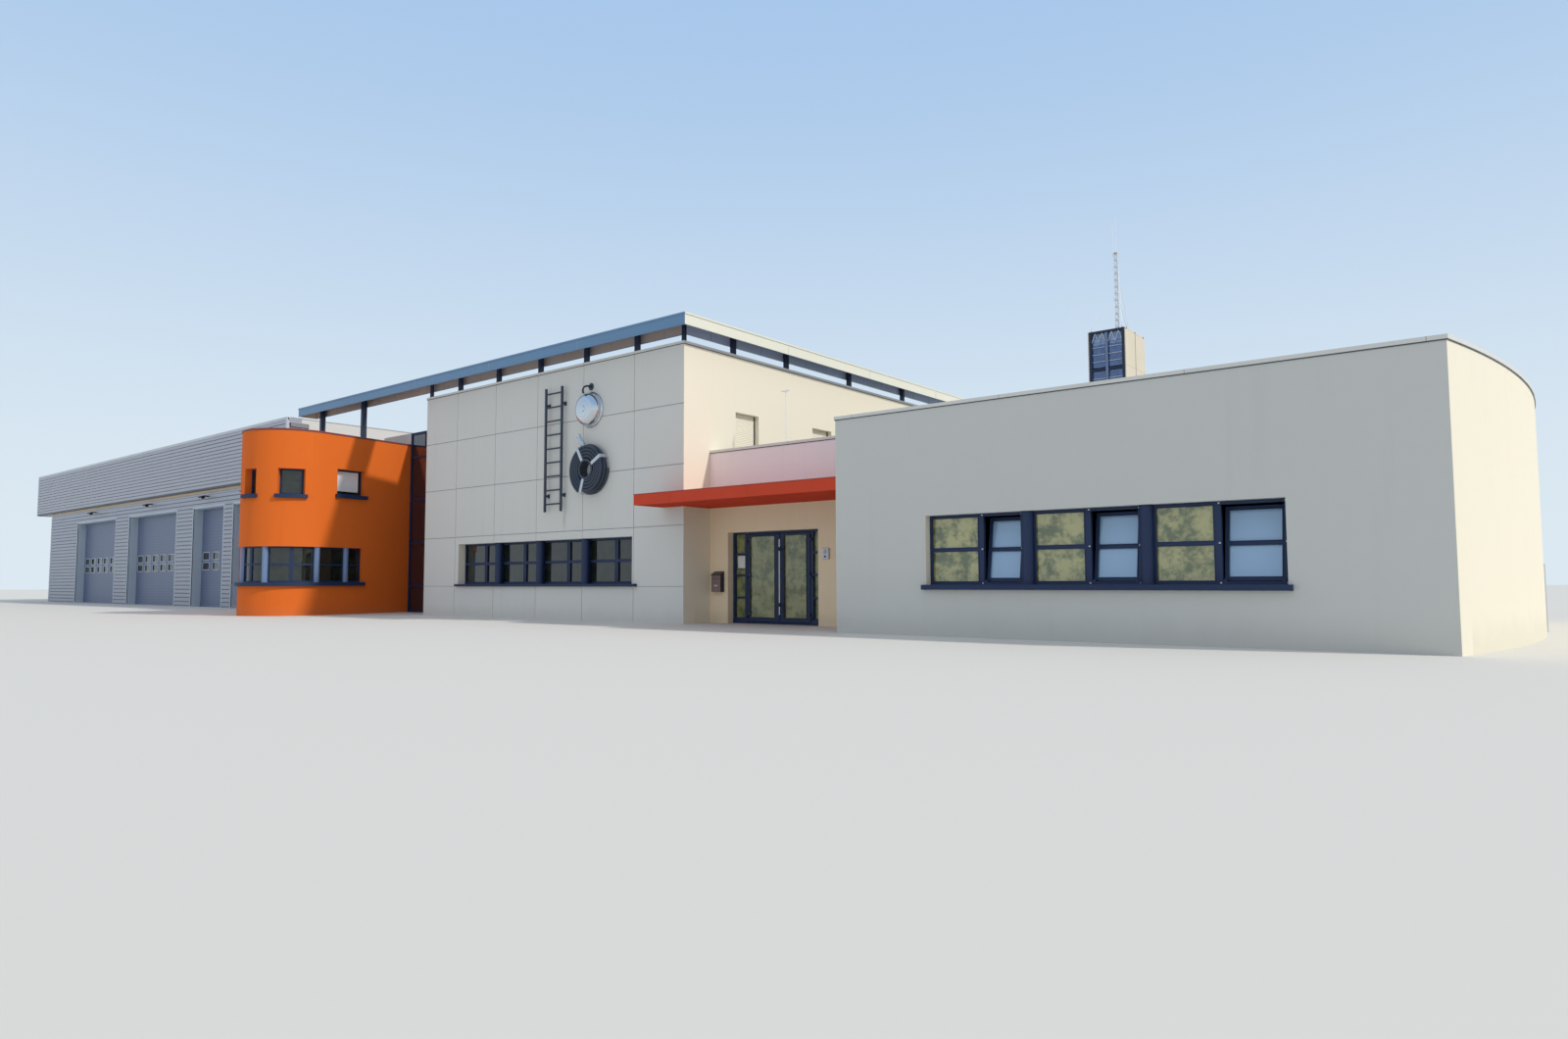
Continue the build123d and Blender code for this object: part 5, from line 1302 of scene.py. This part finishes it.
@dataclass
class Hall(Part):
    """Garage hall: ribbed sheets, doors, flashings, louvre and lamps."""

    depth: float = 0.014
    foot: float = 0.02
    ribs_to_head: int = 24
    light_edge: float = 0.257
    light_rows: Pair = (0.845, 1.053)
    lamp: Pair = (0.150, 2.240)
    lamp_down: float = 0.906
    lamp_ahead: float = 0.423
    light_size: Triple = (0.330, 0.150, 0.030)
    louvre_y: Pair = (-0.540, -0.225)
    louvre_z: Pair = (3.352, 3.408)

    def dress(self) -> None:
        """Finishes of the hall's CAD pieces."""
        F.ribbed_low.cover("hall_front_wall", "hall_back_walls")
        F.ribbed.cover("hall_front_band")
        F.lining.cover("hall_door_linings")
        F.door.cover("hall_doors")
        F.glass.cover("hall_door_glass")
        F.black.cover("hall_fittings")

    def build(self) -> None:
        """Sheets of both storeys, trims, louvre, door lights and lamps."""
        self.sheets()
        self.trims()
        self.louvre()
        self.lights()
        self.lamps()

    def rib_profile(self, z0: float, z1: float, ribs: Ribs) -> Array:
        """Sheet profile: broad flats that stand proud, with narrow sloping grooves between them.

        Args:
            z0: Foot of the sheet.
            z1: Its head.
            ribs: Pitch of its ribs.

        Returns:
            Points as (out, height).
        """
        count = int((z1 - z0) / ribs.value + 0.001)
        steps = np.array([[0.10, 0.0], [0.16, 1.0], [0.94, 1.0], [1.0, 0.0]])
        z = z0 + ((np.arange(count)[:, None] + steps[:, 0]) * ribs.value).reshape(-1)
        out = np.tile(0.002 + steps[:, 1] * self.depth, count)
        return np.array([[0.0015, z0], *zip(out, z), [0.0015, z1], [0.0005, z1], [0.0005, z0]])

    def band_path(self) -> Array:
        """Plan line of the upper storey round the rear, the left end and the front.

        Returns:
            Points, shaped (4, 2).
        """
        s = self.site
        right, left, y, back = s.hall_right, s.band_left, s.front_y - s.band_out, s.hall_back
        return np.array([[right, back], [left, back], [left, y], [right, y]])

    def sheets(self) -> None:
        """Upper sheets round the band; lower ones on the piers, over the doors, at the left and the rear."""
        s = self.site
        band = self.rib_profile(s.band_foot + 0.02, s.hall_top - 0.045, Ribs.UPPER)
        Shell().run(self.band_path(), band).piece("hall_band_sheets", F.ribbed, "ribbed_cladding")
        shell = Shell()
        edges = [s.hall_right] + [v for x0, x1 in s.doors for v in (x1, x0)] + [s.hall_left]
        pier = self.rib_profile(self.foot, s.door_head + 0.001, Ribs.LOWER)
        for right, left in zip(edges[::2], edges[1::2]):
            shell.run([[left, s.front_y], [right, s.front_y]], pier)
        over = self.foot + self.ribs_to_head * Ribs.LOWER.value
        high = self.rib_profile(over, s.band_foot - 0.066, Ribs.LOWER)
        shell.run([[s.hall_left, s.front_y], [s.hall_right, s.front_y]], high)
        rear = [[s.hall_right, s.hall_back], [s.hall_left, s.hall_back], [s.hall_left, s.front_y + 0.02]]
        shell.run(rear, self.rib_profile(self.foot, s.band_foot - 0.02, Ribs.LOWER))
        shell.piece("hall_lower_sheets", F.ribbed_low, "ribbed_cladding")

    def trims(self) -> None:
        """Edges and corner angles of the band, a dark strip at its foot that paints its shadow, the flashing
        below it, and the angles round the doors.
        """
        s = self.site
        y, foot, top, end, left = s.front_y - s.band_out, s.band_foot, s.hall_top, s.hall_right, s.band_left
        shell = Shell().run(self.band_path(), box_profile(-0.02, 0.019, top - 0.045, top + 0.012, 0.003))
        for x0, x1 in ((end - 0.060, end + 0.004), (left - 0.018, left + 0.04)):
            shell.box((x0, y - 0.018, foot), (x1, y + 0.02, top - 0.04))
        shell.box((end - 0.22, s.front_y + 0.02, top), (end + 0.010, s.hall_back, top + 0.015), 0.003)
        shell.piece("hall_band_trim", F.light_trim, "ribbed_cladding")
        # Dark strip at the band's foot: painted shadow.
        dark = Shell().run(self.band_path(), box_profile(-0.02, 0.012, foot - 0.012, foot + 0.02, 0.002))
        dark.piece("hall_band_painted_shadow", F.painted_shadow_strip, "ribbed_cladding")
        front = [[s.hall_left, s.front_y], [s.hall_right, s.front_y]]
        beige = Shell().run(front, box_profile(0.0, 0.020, foot - 0.066, foot - 0.014, 0.004))
        beige.piece("hall_flashing", F.flashing, "beige_lining")
        angles = Shell()
        for x0, x1 in s.doors:
            outline = [[x1, 0.0], [x1, s.door_head], [x0, s.door_head], [x0, 0.0]]
            angles.run(outline, box_profile(0.0, 0.035, -0.003, 0.019, 0.002), front_plane(s.front_y))
        angles.piece("hall_door_angles", F.lining, "beige_lining")

    def louvre(self) -> None:
        """Sloping slats of the louvre on the band's right end."""
        shell = Shell()
        for z in np.linspace(*self.louvre_z, 5):
            slat = [[-0.002, z + 0.007], [0.004, z], [0.005, z + 0.001], [-0.001, z + 0.009]]
            shell.slab(slat, side_plane(self.site.hall_right + 0.016).end_on(), self.louvre_y)
        shell.piece("louvre_slats", F.light_trim, "fitting_metal")

    def lights(self) -> None:
        """Rounded rubber frame round each light in the sectional doors."""
        shell = Shell()
        profile = box_profile(-0.004, 0.012, -0.002, 0.007, 0.002)
        for (x0, x1), count in zip(self.site.doors, (3, 3, 6, 6)):
            for x in np.linspace(x0 + self.light_edge, x1 - self.light_edge, count):
                for z in self.light_rows:
                    outline = rounded_outline(*self.light_size) + [x, z]
                    shell.run(outline, profile, front_plane(self.site.front_y + 0.165), True)
        shell.piece("door_light_frames", F.lining, "grey_door_steel", smooth=True)

    def lamps(self) -> None:
        """Lens of the lamp over each door, narrower towards its front."""
        lens = Shell()
        out, z = self.lamp
        down, ahead = self.lamp_down, self.lamp_ahead
        outline = rounded_outline(0.130, 0.052, 0.010)
        levels = np.array([[1.0, -0.004], [1.0, 0.002], [0.8, 0.006]])[:, :, None]
        for x0, x1 in self.site.doors:
            origin = ((x0 + x1) / 2, self.site.front_y - out - 0.014, z - 0.032)
            basis = Basis(origin, X, (0.0, down, -ahead), (0.0, -ahead, -down))
            lens.grid(basis.place(outline[:, 0] * levels[:, 0], outline[:, 1] * levels[:, 0], levels[:, 1]))
        lens.piece("lamp_lenses", F.white, "fitting_metal")


@dataclass
class FlyingRoof(Part):
    """Flat roof of two lengths on posts above the middle block."""

    foot: float = 3.415
    top: float = 3.554
    left: float = -10.300
    right: float = -0.776
    front: float = -0.750
    back: float = 5.960
    inner_x: float = -1.087
    inner_y: float = -0.425
    seam_pitch: float = 1.908
    post_in: float = 0.045
    side_posts: tuple[float, ...] = (0.366, 1.427, 2.894, 4.362, 5.829)
    tall_posts: tuple[Pair, ...] = ((-8.488, 2.661), (-9.929, 2.781))

    def dress(self) -> None:
        """Finishes of the roof and its posts."""
        F.fascia.cover("roof_ring")
        F.steel.cover("roof_ring_posts")

    def build(self) -> None:
        """Roof open underneath, its edge rolls and seams, linings, and the ends and plates of the posts."""
        self.channel()
        self.rolls()
        self.linings()
        self.plates()

    def outline(self) -> Array:
        """Plan corners of the roof, with its outside on the right."""
        return np.array([[self.left, self.front], [self.right, self.front], [self.right, self.back],
                         [self.inner_x, self.back], [self.inner_x, self.inner_y], [self.left, self.inner_y]])

    def channel(self) -> None:
        """Upright sheet carried round the outline, closed on top by a sheet over each length."""
        shell = Shell().run(self.outline(), box_profile(-0.012, 0.0, self.foot, self.top, 0.001), closed=True)
        for x, y, x1, y1, high in (
            (self.left, self.front, self.right, self.inner_y, self.top - 0.004),
            (self.inner_x, self.inner_y - 0.009, self.right, self.back, self.top - 0.0045),
        ):
            shell.box((x + 0.004, y + 0.004, high - 0.012), (x1 - 0.004, y1 - 0.004, high), 0.001, axis=2)
        shell.piece("roof_channel", F.fascia, "fascia_metal", replaces=["roof_ring"])

    def rolls(self) -> None:
        """Rolled edge round the roof's outline and the upright seams of its fascia."""
        shell = Shell()
        foot, top = self.foot, self.top
        for out, low, high in ((0.007, top - 0.020, top + 0.006), (0.004, foot - 0.003, foot + 0.012)):
            shell.run(self.outline(), box_profile(-0.010, out, low, high, 0.003), closed=True)
        shell.piece("roof_edge_rolls", F.fascia, "fascia_metal")
        seams = Shell()
        low, high, pitch = foot + 0.01, top - 0.02, self.seam_pitch
        for x in np.arange(self.right - pitch, self.left, -pitch):
            seams.box((x - 0.004, self.front - 0.002, low), (x + 0.004, self.front + 0.001, high), 0.001)
        for y in np.arange(self.front + pitch, self.back, pitch):
            seams.box((self.right - 0.001, y - 0.004, low), (self.right + 0.002, y + 0.004, high), 0.001)
        seams.piece("roof_fascia_seams", F.fascia, "fascia_metal")

    def linings(self) -> None:
        """Sheets on the inner face of the rear side of both lengths, in two tints that paint light and shade:
        blue on the side length, warm beige on the front length.
        """
        low, high, x, y = self.foot + 0.002, self.top - 0.020, self.inner_x, self.inner_y
        front = Shell().box((self.left + 0.014, y - 0.016, low), (x - 0.001, y - 0.0125, high), 0.001)
        front.piece("front_roof_lining", F.soffit, "fascia_metal")
        side = Shell().box((x + 0.0125, y - 0.012, low), (x + 0.016, self.back - 0.014, high), 0.001)
        side.piece("side_roof_lining_painted_shade", F.painted_shade_lining, "fascia_metal")

    def plates(self) -> None:
        """Foot plate of each post, a turned square shape, and the post's end inside the roof."""
        s = self.site
        x, y, deck = s.corner_x - self.post_in, s.front_y + self.post_in, s.mid_top
        spots = [(x, y, deck, 0.021), (s.mid_left_x + self.post_in, y, deck, 0.021)]
        spots += [(PANEL_JOINT - PANEL_PITCH * k, y, deck, 0.0275) for k in range(5)]
        spots += [(x, post, deck, 0.0275) for post in self.side_posts]
        spots += [(post, y, foot, 0.035) for post, foot in self.tall_posts]
        shell = Shell()
        slant, corner = math.sqrt(0.5), math.sqrt(2.0)
        low, high = self.foot - 0.001, self.top - 0.0175
        for px, py, foot, half in spots:
            inner, outer = (half + 0.001) * corner, (half + 0.012) * corner
            place = Basis((px, py, 0.0), (slant, slant, 0.0), (-slant, slant, 0.0))
            shell.turned([[outer, foot], [outer, foot + 0.006], [inner, foot + 0.009]], place, 4)
            shell.box((px - half, py - half, low), (px + half, py + half, high), 0.001)
        shell.piece("post_plates", F.steel, "slate_blue_steel")


@dataclass
class Tower(Part):
    """Open steel tower with its cladding, stairs and mast."""

    levels: tuple[float, ...] = (1.600, 3.200, 4.480, 5.180)
    head: float = 5.775
    band_foot: float = 5.700
    landing_z: Pair = (4.440, 4.476)
    web: float = 0.11
    post: float = 0.062
    mast: Pair = (0.515, 0.420)
    mast_span: Pair = (6.010, 7.840)
    flight: Pair = (0.20, 1.00)
    strings: Pair = (0.12, 0.34)
    rails: Triple = (0.16, 0.32, 0.48)
    rib_depth: float = 0.0025
    rib_pitch: float = 0.06

    def dress(self) -> None:
        """Finishes of the tower."""
        F.steel.cover("tower_frame")
        F.tower.cover("tower_panels")
        F.mast.cover("antenna_masts")

    def build(self) -> None:
        """Inner blue sheets of painted shade, front glazing, stairs, braces, head corners, fixings and the
        mast's bars.
        """
        self.linings()
        self.glazing()
        self.stairs()
        self.braces()
        self.lacing()

    def linings(self) -> None:
        """Blue sheets inside the cladding that paint the shade inside the tower, ribbed upright: a wave along
        the sheet.
        """
        lo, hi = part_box("tower_frame")
        shell = Shell()
        width, length, y = hi.x - lo.x - 0.008, hi.y - lo.y - 0.132, lo.y + 0.066
        for basis, size, foot in (
            (front_plane(hi.y - 0.001, lo.x + 0.004), width, 0.02),
            (Basis((hi.x - 0.001, y, 0.0), Y, Z, (-1.0, 0.0, 0.0)), length, 0.02),
            (Basis((lo.x + 0.001, y, 0.0), Y, Z, X), length, 3.32),
        ):
            a = np.linspace(0.0, size, 90)
            out = 0.004 + self.rib_depth * np.sin(a * 2 * math.pi / self.rib_pitch)
            line = np.array([*zip(a, out), [size, 0.0], [0.0, 0.0]])
            shell.grid(np.stack([basis.place(line[:, 0], z, line[:, 1]) for z in (foot, hi.z - 0.05)]))
        shell.piece("tower_linings_painted_shade", F.painted_shade_blue, "slate_blue_steel")

    def glazing(self) -> None:
        """Tinted sheets between the front posts, and pale covers of the middle post and a landing."""
        lo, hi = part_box("tower_frame")
        middle, y = (lo.x + hi.x) / 2, lo.y
        bays = ((lo.x + self.post, middle - self.post / 2), (middle + self.post / 2, hi.x - self.post))
        shell, head, covers = Shell(), Shell(), Shell()
        for z0, z1 in zip((0.0,) + self.levels, self.levels + (5.770,)):
            for x0, x1 in bays:
                shell.box((x0, y + 0.045, z0 + 0.03), (x1, y + 0.051, z1 - 0.05))
        shell.piece("tower_glazing", F.tower_glass, "slate_blue_steel")
        for x0, x1 in bays:
            for low, high in ((self.head + 0.005, hi.z - 0.046), (self.band_foot, self.head)):
                head.box((x0, y + 0.060, low), (x1, y + 0.066, high))
        head.piece("tower_head_glass", F.head_glass, "slate_blue_steel")
        covers.box((middle - 0.028, y - 0.003, 0.02), (middle + 0.028, y + 0.001, 5.97), 0.001)
        low, high = self.landing_z
        covers.box((lo.x + 0.064, y - 0.003, low), (hi.x - 0.064, y + 0.001, high), 0.001)
        covers.piece("tower_covers", F.column, "slate_blue_steel")

    def lacing(self) -> None:
        """Zigzag of thin bars on the three faces of the mast's lattice, with rings of bars at its turns."""
        lo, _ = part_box("tower_frame")
        corners = np.array([[-0.042, -0.028], [0.042, -0.028], [0.0, 0.056]]) + self.mast + [lo.x, lo.y]
        levels = np.linspace(*self.mast_span, 25)
        shell = Shell()
        for a, b in ((0, 1), (1, 2), (2, 0)):
            shell.bar([[*corners[a if k % 2 == 0 else b], z] for k, z in enumerate(levels)], 0.0035, 5)
            for z in levels[::2]:
                shell.bar([[*corners[a], z], [*corners[b], z]], 0.0035, 5)
        shell.piece("mast_lacing", F.mast_bars, "mast_steel")

    def stairs(self) -> None:
        """Flights of stairs between the landings with strings, treads and handrails."""
        lo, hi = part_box("tower_frame")
        shell = Shell()
        left, right = (lo.x + v for v in self.strings)
        near, far = (lo.y + v for v in self.flight)
        floors = (0.0, *self.levels, hi.z - 0.05)
        for k, (z0, z1) in enumerate(zip(floors, floors[1:])):
            y0, y1 = (near, far) if k % 2 == 0 else (far, near)
            for x in (left, right):
                shell.bar([[x, y0, z0 + 0.01], [x, y1, z1 - 0.03]], 0.010, 6)
                shell.bar([[x, y0, z0 + 0.34], [x, y1, z1]], 0.006, 6)
            steps = max(3, int((z1 - z0) / 0.10))
            for t in (np.arange(steps) + 0.5) / steps:
                y, z = y0 + (y1 - y0) * t, z0 + (z1 - z0) * t
                shell.box((left, y - 0.045, z - 0.006), (right, y + 0.045, z + 0.006), 0.003, axis=2)
        for z in (level + rail for level in self.levels[2:] for rail in self.rails):
            shell.bar([[lo.x + 0.06, lo.y + 0.03, z], [hi.x - 0.06, lo.y + 0.03, z]], 0.006, 6)
        shell.piece("tower_stairs", F.white, "slate_blue_steel")

    def braces(self) -> None:
        """Zigzag braces of the top band, webs in its corners, and seam and fixings of the right cladding."""
        lo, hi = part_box("tower_frame")
        braces, webs = Shell(), Shell()
        middle, top, y = (lo.x + hi.x) / 2, hi.z - 0.044, lo.y + 0.02
        for x0, x1 in ((lo.x + 0.06, middle - 0.03), (middle + 0.03, hi.x - 0.06)):
            xs = np.linspace(x0, x1, 5)
            for k in range(4):
                z0, z1 = (self.head, top) if k % 2 == 0 else (top, self.head)
                braces.bar([[xs[k], y, z0], [xs[k + 1], y, z1]], 0.006, 6)
        braces.piece("tower_braces", F.white, "slate_blue_steel")
        turn = np.linspace(0.0, math.pi / 2, 12)
        for x, side in ((lo.x + 0.061, 1.0), (hi.x - 0.061, -1.0)):
            arc = zip(x + side * self.web * (1 - np.sin(turn)), top - self.web * (1 - np.cos(turn)))
            webs.slab([*arc, (x - side * 0.001, top + 0.001)], front_plane(lo.y), (-0.012, -0.024))
        for share in (0.06, 0.5, 0.94):
            y = lo.y + (hi.y - lo.y) * share
            webs.box((hi.x + 0.012, y - 0.02, hi.z - 0.03), (hi.x + 0.026, y + 0.02, hi.z + 0.004), 0.003)
        y = (lo.y + hi.y + 0.020) / 2
        webs.box((hi.x + 0.019, y - 0.007, 0.0), (hi.x + 0.023, y + 0.007, hi.z - 0.002), 0.001, axis=2)
        webs.piece("tower_fixings", F.steel, "slate_blue_steel")


@dataclass
class WallRelief(Part):
    """Metal wall piece: a ladder, a coiled hose with its nozzle and a polished gong."""

    left: float = -3.500
    foot: float = 1.400
    height: float = 1.640
    width: float = 0.330
    rungs: int = 9
    ladder_y: float = -0.605
    reel: Pair = (-2.600, 1.900)
    hose_turns: float = 4.0
    hose_start: float = 0.142
    hose_pitch: float = 0.0412
    hose_radius: float = 0.0205
    straps_at: Triple = (0.5, 2.1, 4.4)
    gong: Pair = (-2.640, 2.670)

    def build(self) -> None:
        """All pieces of the relief."""
        self.ladder()
        self.hose()
        self.fittings()
        self.bell()

    def ladder(self) -> None:
        """Two rails of rounded section, their brackets and round rungs."""
        y, wall = self.ladder_y, self.site.front_y
        shell = Shell()
        for x in (self.left, self.left + self.width):
            foot, head = self.foot, self.foot + self.height
            shell.box((x, y - 0.014, foot), (x + 0.034, y + 0.014, head), 0.008, axis=2)
            for z in (foot + 0.200, foot + 1.400):
                shell.box((x + 0.002, y, z), (x + 0.032, wall + 0.001, z + 0.030), 0.005)
                shell.box((x - 0.006, wall - 0.006, z - 0.012), (x + 0.040, wall + 0.001, z + 0.042))
        for z in self.foot + self.height * (np.arange(self.rungs) + 0.5) / self.rungs + 0.011:
            shell.bar([[self.left + 0.02, y, z], [self.left + self.width + 0.014, y, z]], 0.011, 12)
        shell.piece("relief_ladder", F.relief, "relief_metal", smooth=True, replaces=["wall_relief"])

    def hose(self) -> None:
        """Hose in three layers, in each of which the radius grows with the turn, on a turned hub."""
        (cx, cz), wall = self.reel, self.site.front_y
        shell = Shell()
        for layer in range(3):
            turn = np.linspace(0.0, 2 * math.pi * self.hose_turns, 260)
            radius = self.hose_start + self.hose_pitch * turn / (2 * math.pi)
            angle = turn + layer * 2.1
            basis = front_plane(wall - 0.024 - 0.040 * layer, cx, cz)
            path = basis.place(radius * np.cos(angle), radius * np.sin(angle), 0.0)
            shell.bar(path, self.hose_radius, 12)
        shell.piece("relief_hose", F.relief, "relief_metal", smooth=True)
        ring = [[0.108, 0.0], [0.122, 0.0], [0.122, 0.112], [0.134, 0.118], [0.134, 0.126], [0.104, 0.126],
                [0.104, 0.118], [0.108, 0.112]]
        hub = Shell().turned(ring, front_plane(wall, cx, cz), 48, ring=True)
        hub.piece("relief_hub", F.relief, "relief_metal", smooth=True)

    def fittings(self) -> None:
        """Straps round the hose, rounded outlines carried along its turn, and its nozzle, a turned shape."""
        (cx, cz), wall = self.reel, self.site.front_y
        bands = Shell()
        for angle in self.straps_at:
            c, s = math.cos(angle), math.sin(angle)
            arm = Basis((cx + 0.218 * c, wall - 0.064, cz + 0.218 * s), (c, 0.0, s), Y, (-s, 0.0, c))
            bands.slab(rounded_outline(0.208, 0.128, 0.020), arm, (-0.022, 0.022))
        bands.piece("relief_bands", F.bands, "relief_metal", smooth=True)
        place = Basis((cx - 0.10, wall - 0.085, cz + 0.335), (0.80, 0.0, 0.60), Y, (-0.60, 0.0, 0.80))
        profile = [[0.024, -0.09], [0.024, -0.02], [0.030, -0.02], [0.033, 0.02], [0.028, 0.04],
                   [0.022, 0.11], [0.029, 0.12], [0.029, 0.14]]
        nozzle = Shell().turned(profile, place, 24)
        nozzle.piece("relief_nozzle", F.polished, "relief_metal", smooth=True)

    def bell(self) -> None:
        """Gong, turned: a rolled rim, a curved flank and a crown with a boss; and its clapper arm."""
        (x, z), wall = self.gong, self.site.front_y
        t = np.linspace(0.0, math.pi / 2, 22)
        flank = zip(0.125 + 0.092 * np.cos(t), 0.028 + 0.104 * np.sin(t))
        rim = [[0.216, 0.0], [0.226, 0.004], [0.230, 0.012], [0.226, 0.020], [0.219, 0.024]]
        crown = [[0.110, 0.135], [0.080, 0.139], [0.040, 0.141], [0.036, 0.148], [0.018, 0.150]]
        gong = Shell().turned([*rim, *flank, *crown], front_plane(wall, x, z), 72)
        gong.piece("relief_bell", F.polished, "relief_metal", smooth=True)
        arm = [(0.002, 0.300), (0.070, 0.300), (0.120, 0.280), (0.140, 0.240), (0.130, 0.195)]
        path = [[x, wall - out, z + up] for out, up in arm]
        shell = Shell().bar(path, np.array([0.013, 0.013, 0.012, 0.012, 0.016]), 12)
        shell.turned([[0.045, 0.0], [0.045, 0.010], [0.041, 0.014]], front_plane(wall, x, z + 0.300), 24)
        shell.piece("relief_bracket", F.relief, "relief_metal", smooth=True)


@dataclass
class Wing(Part):
    """Small things on the bowed wing."""

    pipes: tuple[Pair, ...] = ((2.7, 0.62), (3.1, 0.30))
    hooks: Pair = (0.95, 1.25)
    hooks_y: float = 3.4

    def build(self) -> None:
        """Two thin pipes low on the bowed wall and two hooks above them."""
        shell = Shell()
        wall_x, wall_y = self.site.bow_line(400).T
        for y, top in self.pipes:
            x = np.interp(y, wall_y, wall_x) + 0.012
            shell.bar([[x, y, 0.0], [x, y, top]], 0.010, 8)
        x, y = np.interp(self.hooks_y, wall_y, wall_x), self.hooks_y
        for z in self.hooks:
            shell.box((x - 0.004, y - 0.015, z), (x + 0.030, y + 0.015, z + 0.022), 0.004)
        shell.piece("wing_pipes", F.light_trim, "mast_steel", smooth=True)


@dataclass
class Studio:
    """Floor, light, background and camera."""

    sun_from: Triple = (1.26, 0.283, 1.0)
    sun_strength: float = 2.05
    sky_strength: float = 0.74
    sky: str = "#dfe9f8"
    horizon: str = "#dce9f2"
    zenith: str = "#a6c6ea"
    reach: float = 90.0
    camera_at: Triple = (6.735, -8.353, 0.4815)
    camera_turn: Triple = (38.628, 3.752, -0.19)
    focal_share: float = 967.219 / 1600.0

    def build(self) -> None:
        """Set up the whole studio."""
        self.camera()
        self.floor()
        self.light()
        bpy.context.scene.view_settings.view_transform = "Standard"

    def add(self, name: str, data: bpy.types.ID) -> bpy.types.Object:
        """Put an object with this data into the scene.

        Args:
            name: Name of the object.
            data: Its mesh, light or camera.

        Returns:
            The object.
        """
        obj = bpy.data.objects.new(name, data)
        bpy.context.scene.collection.objects.link(obj)
        return obj

    def floor(self) -> None:
        """Plain pale floor that keeps the building's shadow."""
        mesh = bpy.data.meshes.new("studio_floor")
        corners = np.array([[-1, -1, 0], [1, -1, 0], [1, 1, 0], [-1, 1, 0]]) * self.reach + [-9.0, 4.0, 0.0]
        mesh.from_pydata(corners.tolist(), [], [(0, 1, 2, 3)])
        obj = self.add("studio_floor", mesh)
        material = bpy.data.materials.new("studio_floor")
        material.use_nodes = True
        Wires(material.node_tree).feed(material.node_tree.nodes["Principled BSDF"], {
            "Base Color": linear("#dedcd6"), "Roughness": 0.9, "Specular IOR Level": 0.1,
        })
        mesh.materials.append(material)

    def light(self) -> None:
        """One soft sun from the right, an even sky, and a pale background that deepens upwards."""
        data = bpy.data.lights.new("soft_sun", "SUN")
        data.energy = self.sun_strength
        data.angle = math.radians(3.0)
        data.color = (1.0, 0.955, 0.88)
        self.add("soft_sun", data).rotation_euler = Vector(self.sun_from).to_track_quat("Z", "Y").to_euler()
        world = bpy.data.worlds.new("studio")
        bpy.context.scene.world = world
        world.use_nodes = True
        w, nodes = Wires(world.node_tree), world.node_tree.nodes
        w.feed(nodes["Background"], {"Color": linear(self.sky), "Strength": self.sky_strength})
        split = w.node("ShaderNodeSeparateXYZ", {0: w.node("ShaderNodeTexCoord").outputs["Generated"]})
        backdrop = w.mix(w.step(split.outputs[2], 0.0, 0.6), linear(self.horizon), linear(self.zenith))
        seen = w.node("ShaderNodeBackground", {"Color": backdrop, "Strength": 1.0}).outputs[0]
        path = w.node("ShaderNodeLightPath").outputs
        share = w.math("MAXIMUM", path["Is Camera Ray"], path["Is Glossy Ray"])
        share = w.math("MAXIMUM", share, path["Is Transmission Ray"])
        mix = w.node("ShaderNodeMixShader", {0: share, 1: nodes["Background"].outputs[0], 2: seen})
        w.feed(nodes["World Output"], {"Surface": mix.outputs[0]})

    def camera(self) -> None:
        """Camera solved from the photograph: place, turn and lens."""
        yaw, pitch, roll = (math.radians(v) for v in self.camera_turn)
        ahead = Vector((-math.sin(yaw) * math.cos(pitch), math.cos(yaw) * math.cos(pitch), math.sin(pitch)))
        level = Vector((math.cos(yaw), math.sin(yaw), 0.0))
        upright = level.cross(ahead)
        across = level * math.cos(roll) + upright * math.sin(roll)
        up = upright * math.cos(roll) - level * math.sin(roll)
        data = bpy.data.cameras.new("photo_camera")
        data.sensor_fit = "HORIZONTAL"
        data.sensor_width = 36.0
        data.lens = data.sensor_width * self.focal_share
        data.clip_start, data.clip_end = 0.05, 400.0
        obj = self.add("photo_camera", data)
        turn = Matrix((across, up, -ahead)).transposed().to_4x4()
        obj.matrix_world = Matrix.Translation(self.camera_at) @ turn
        bpy.context.scene.camera = obj


def main() -> None:
    """Load the frame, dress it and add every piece."""
    logging.basicConfig(level=logging.INFO, format="%(message)s")
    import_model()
    Studio().build()
    for kind in (OfficeWalls, Entrance, RoundBlock, Hall, FlyingRoof, Tower, Windows, WallRelief, Wing):
        part = kind(Site())
        part.dress()
        part.build()
        LOG.info("built %s", kind.__name__)


if __name__ == "__main__":
    main()
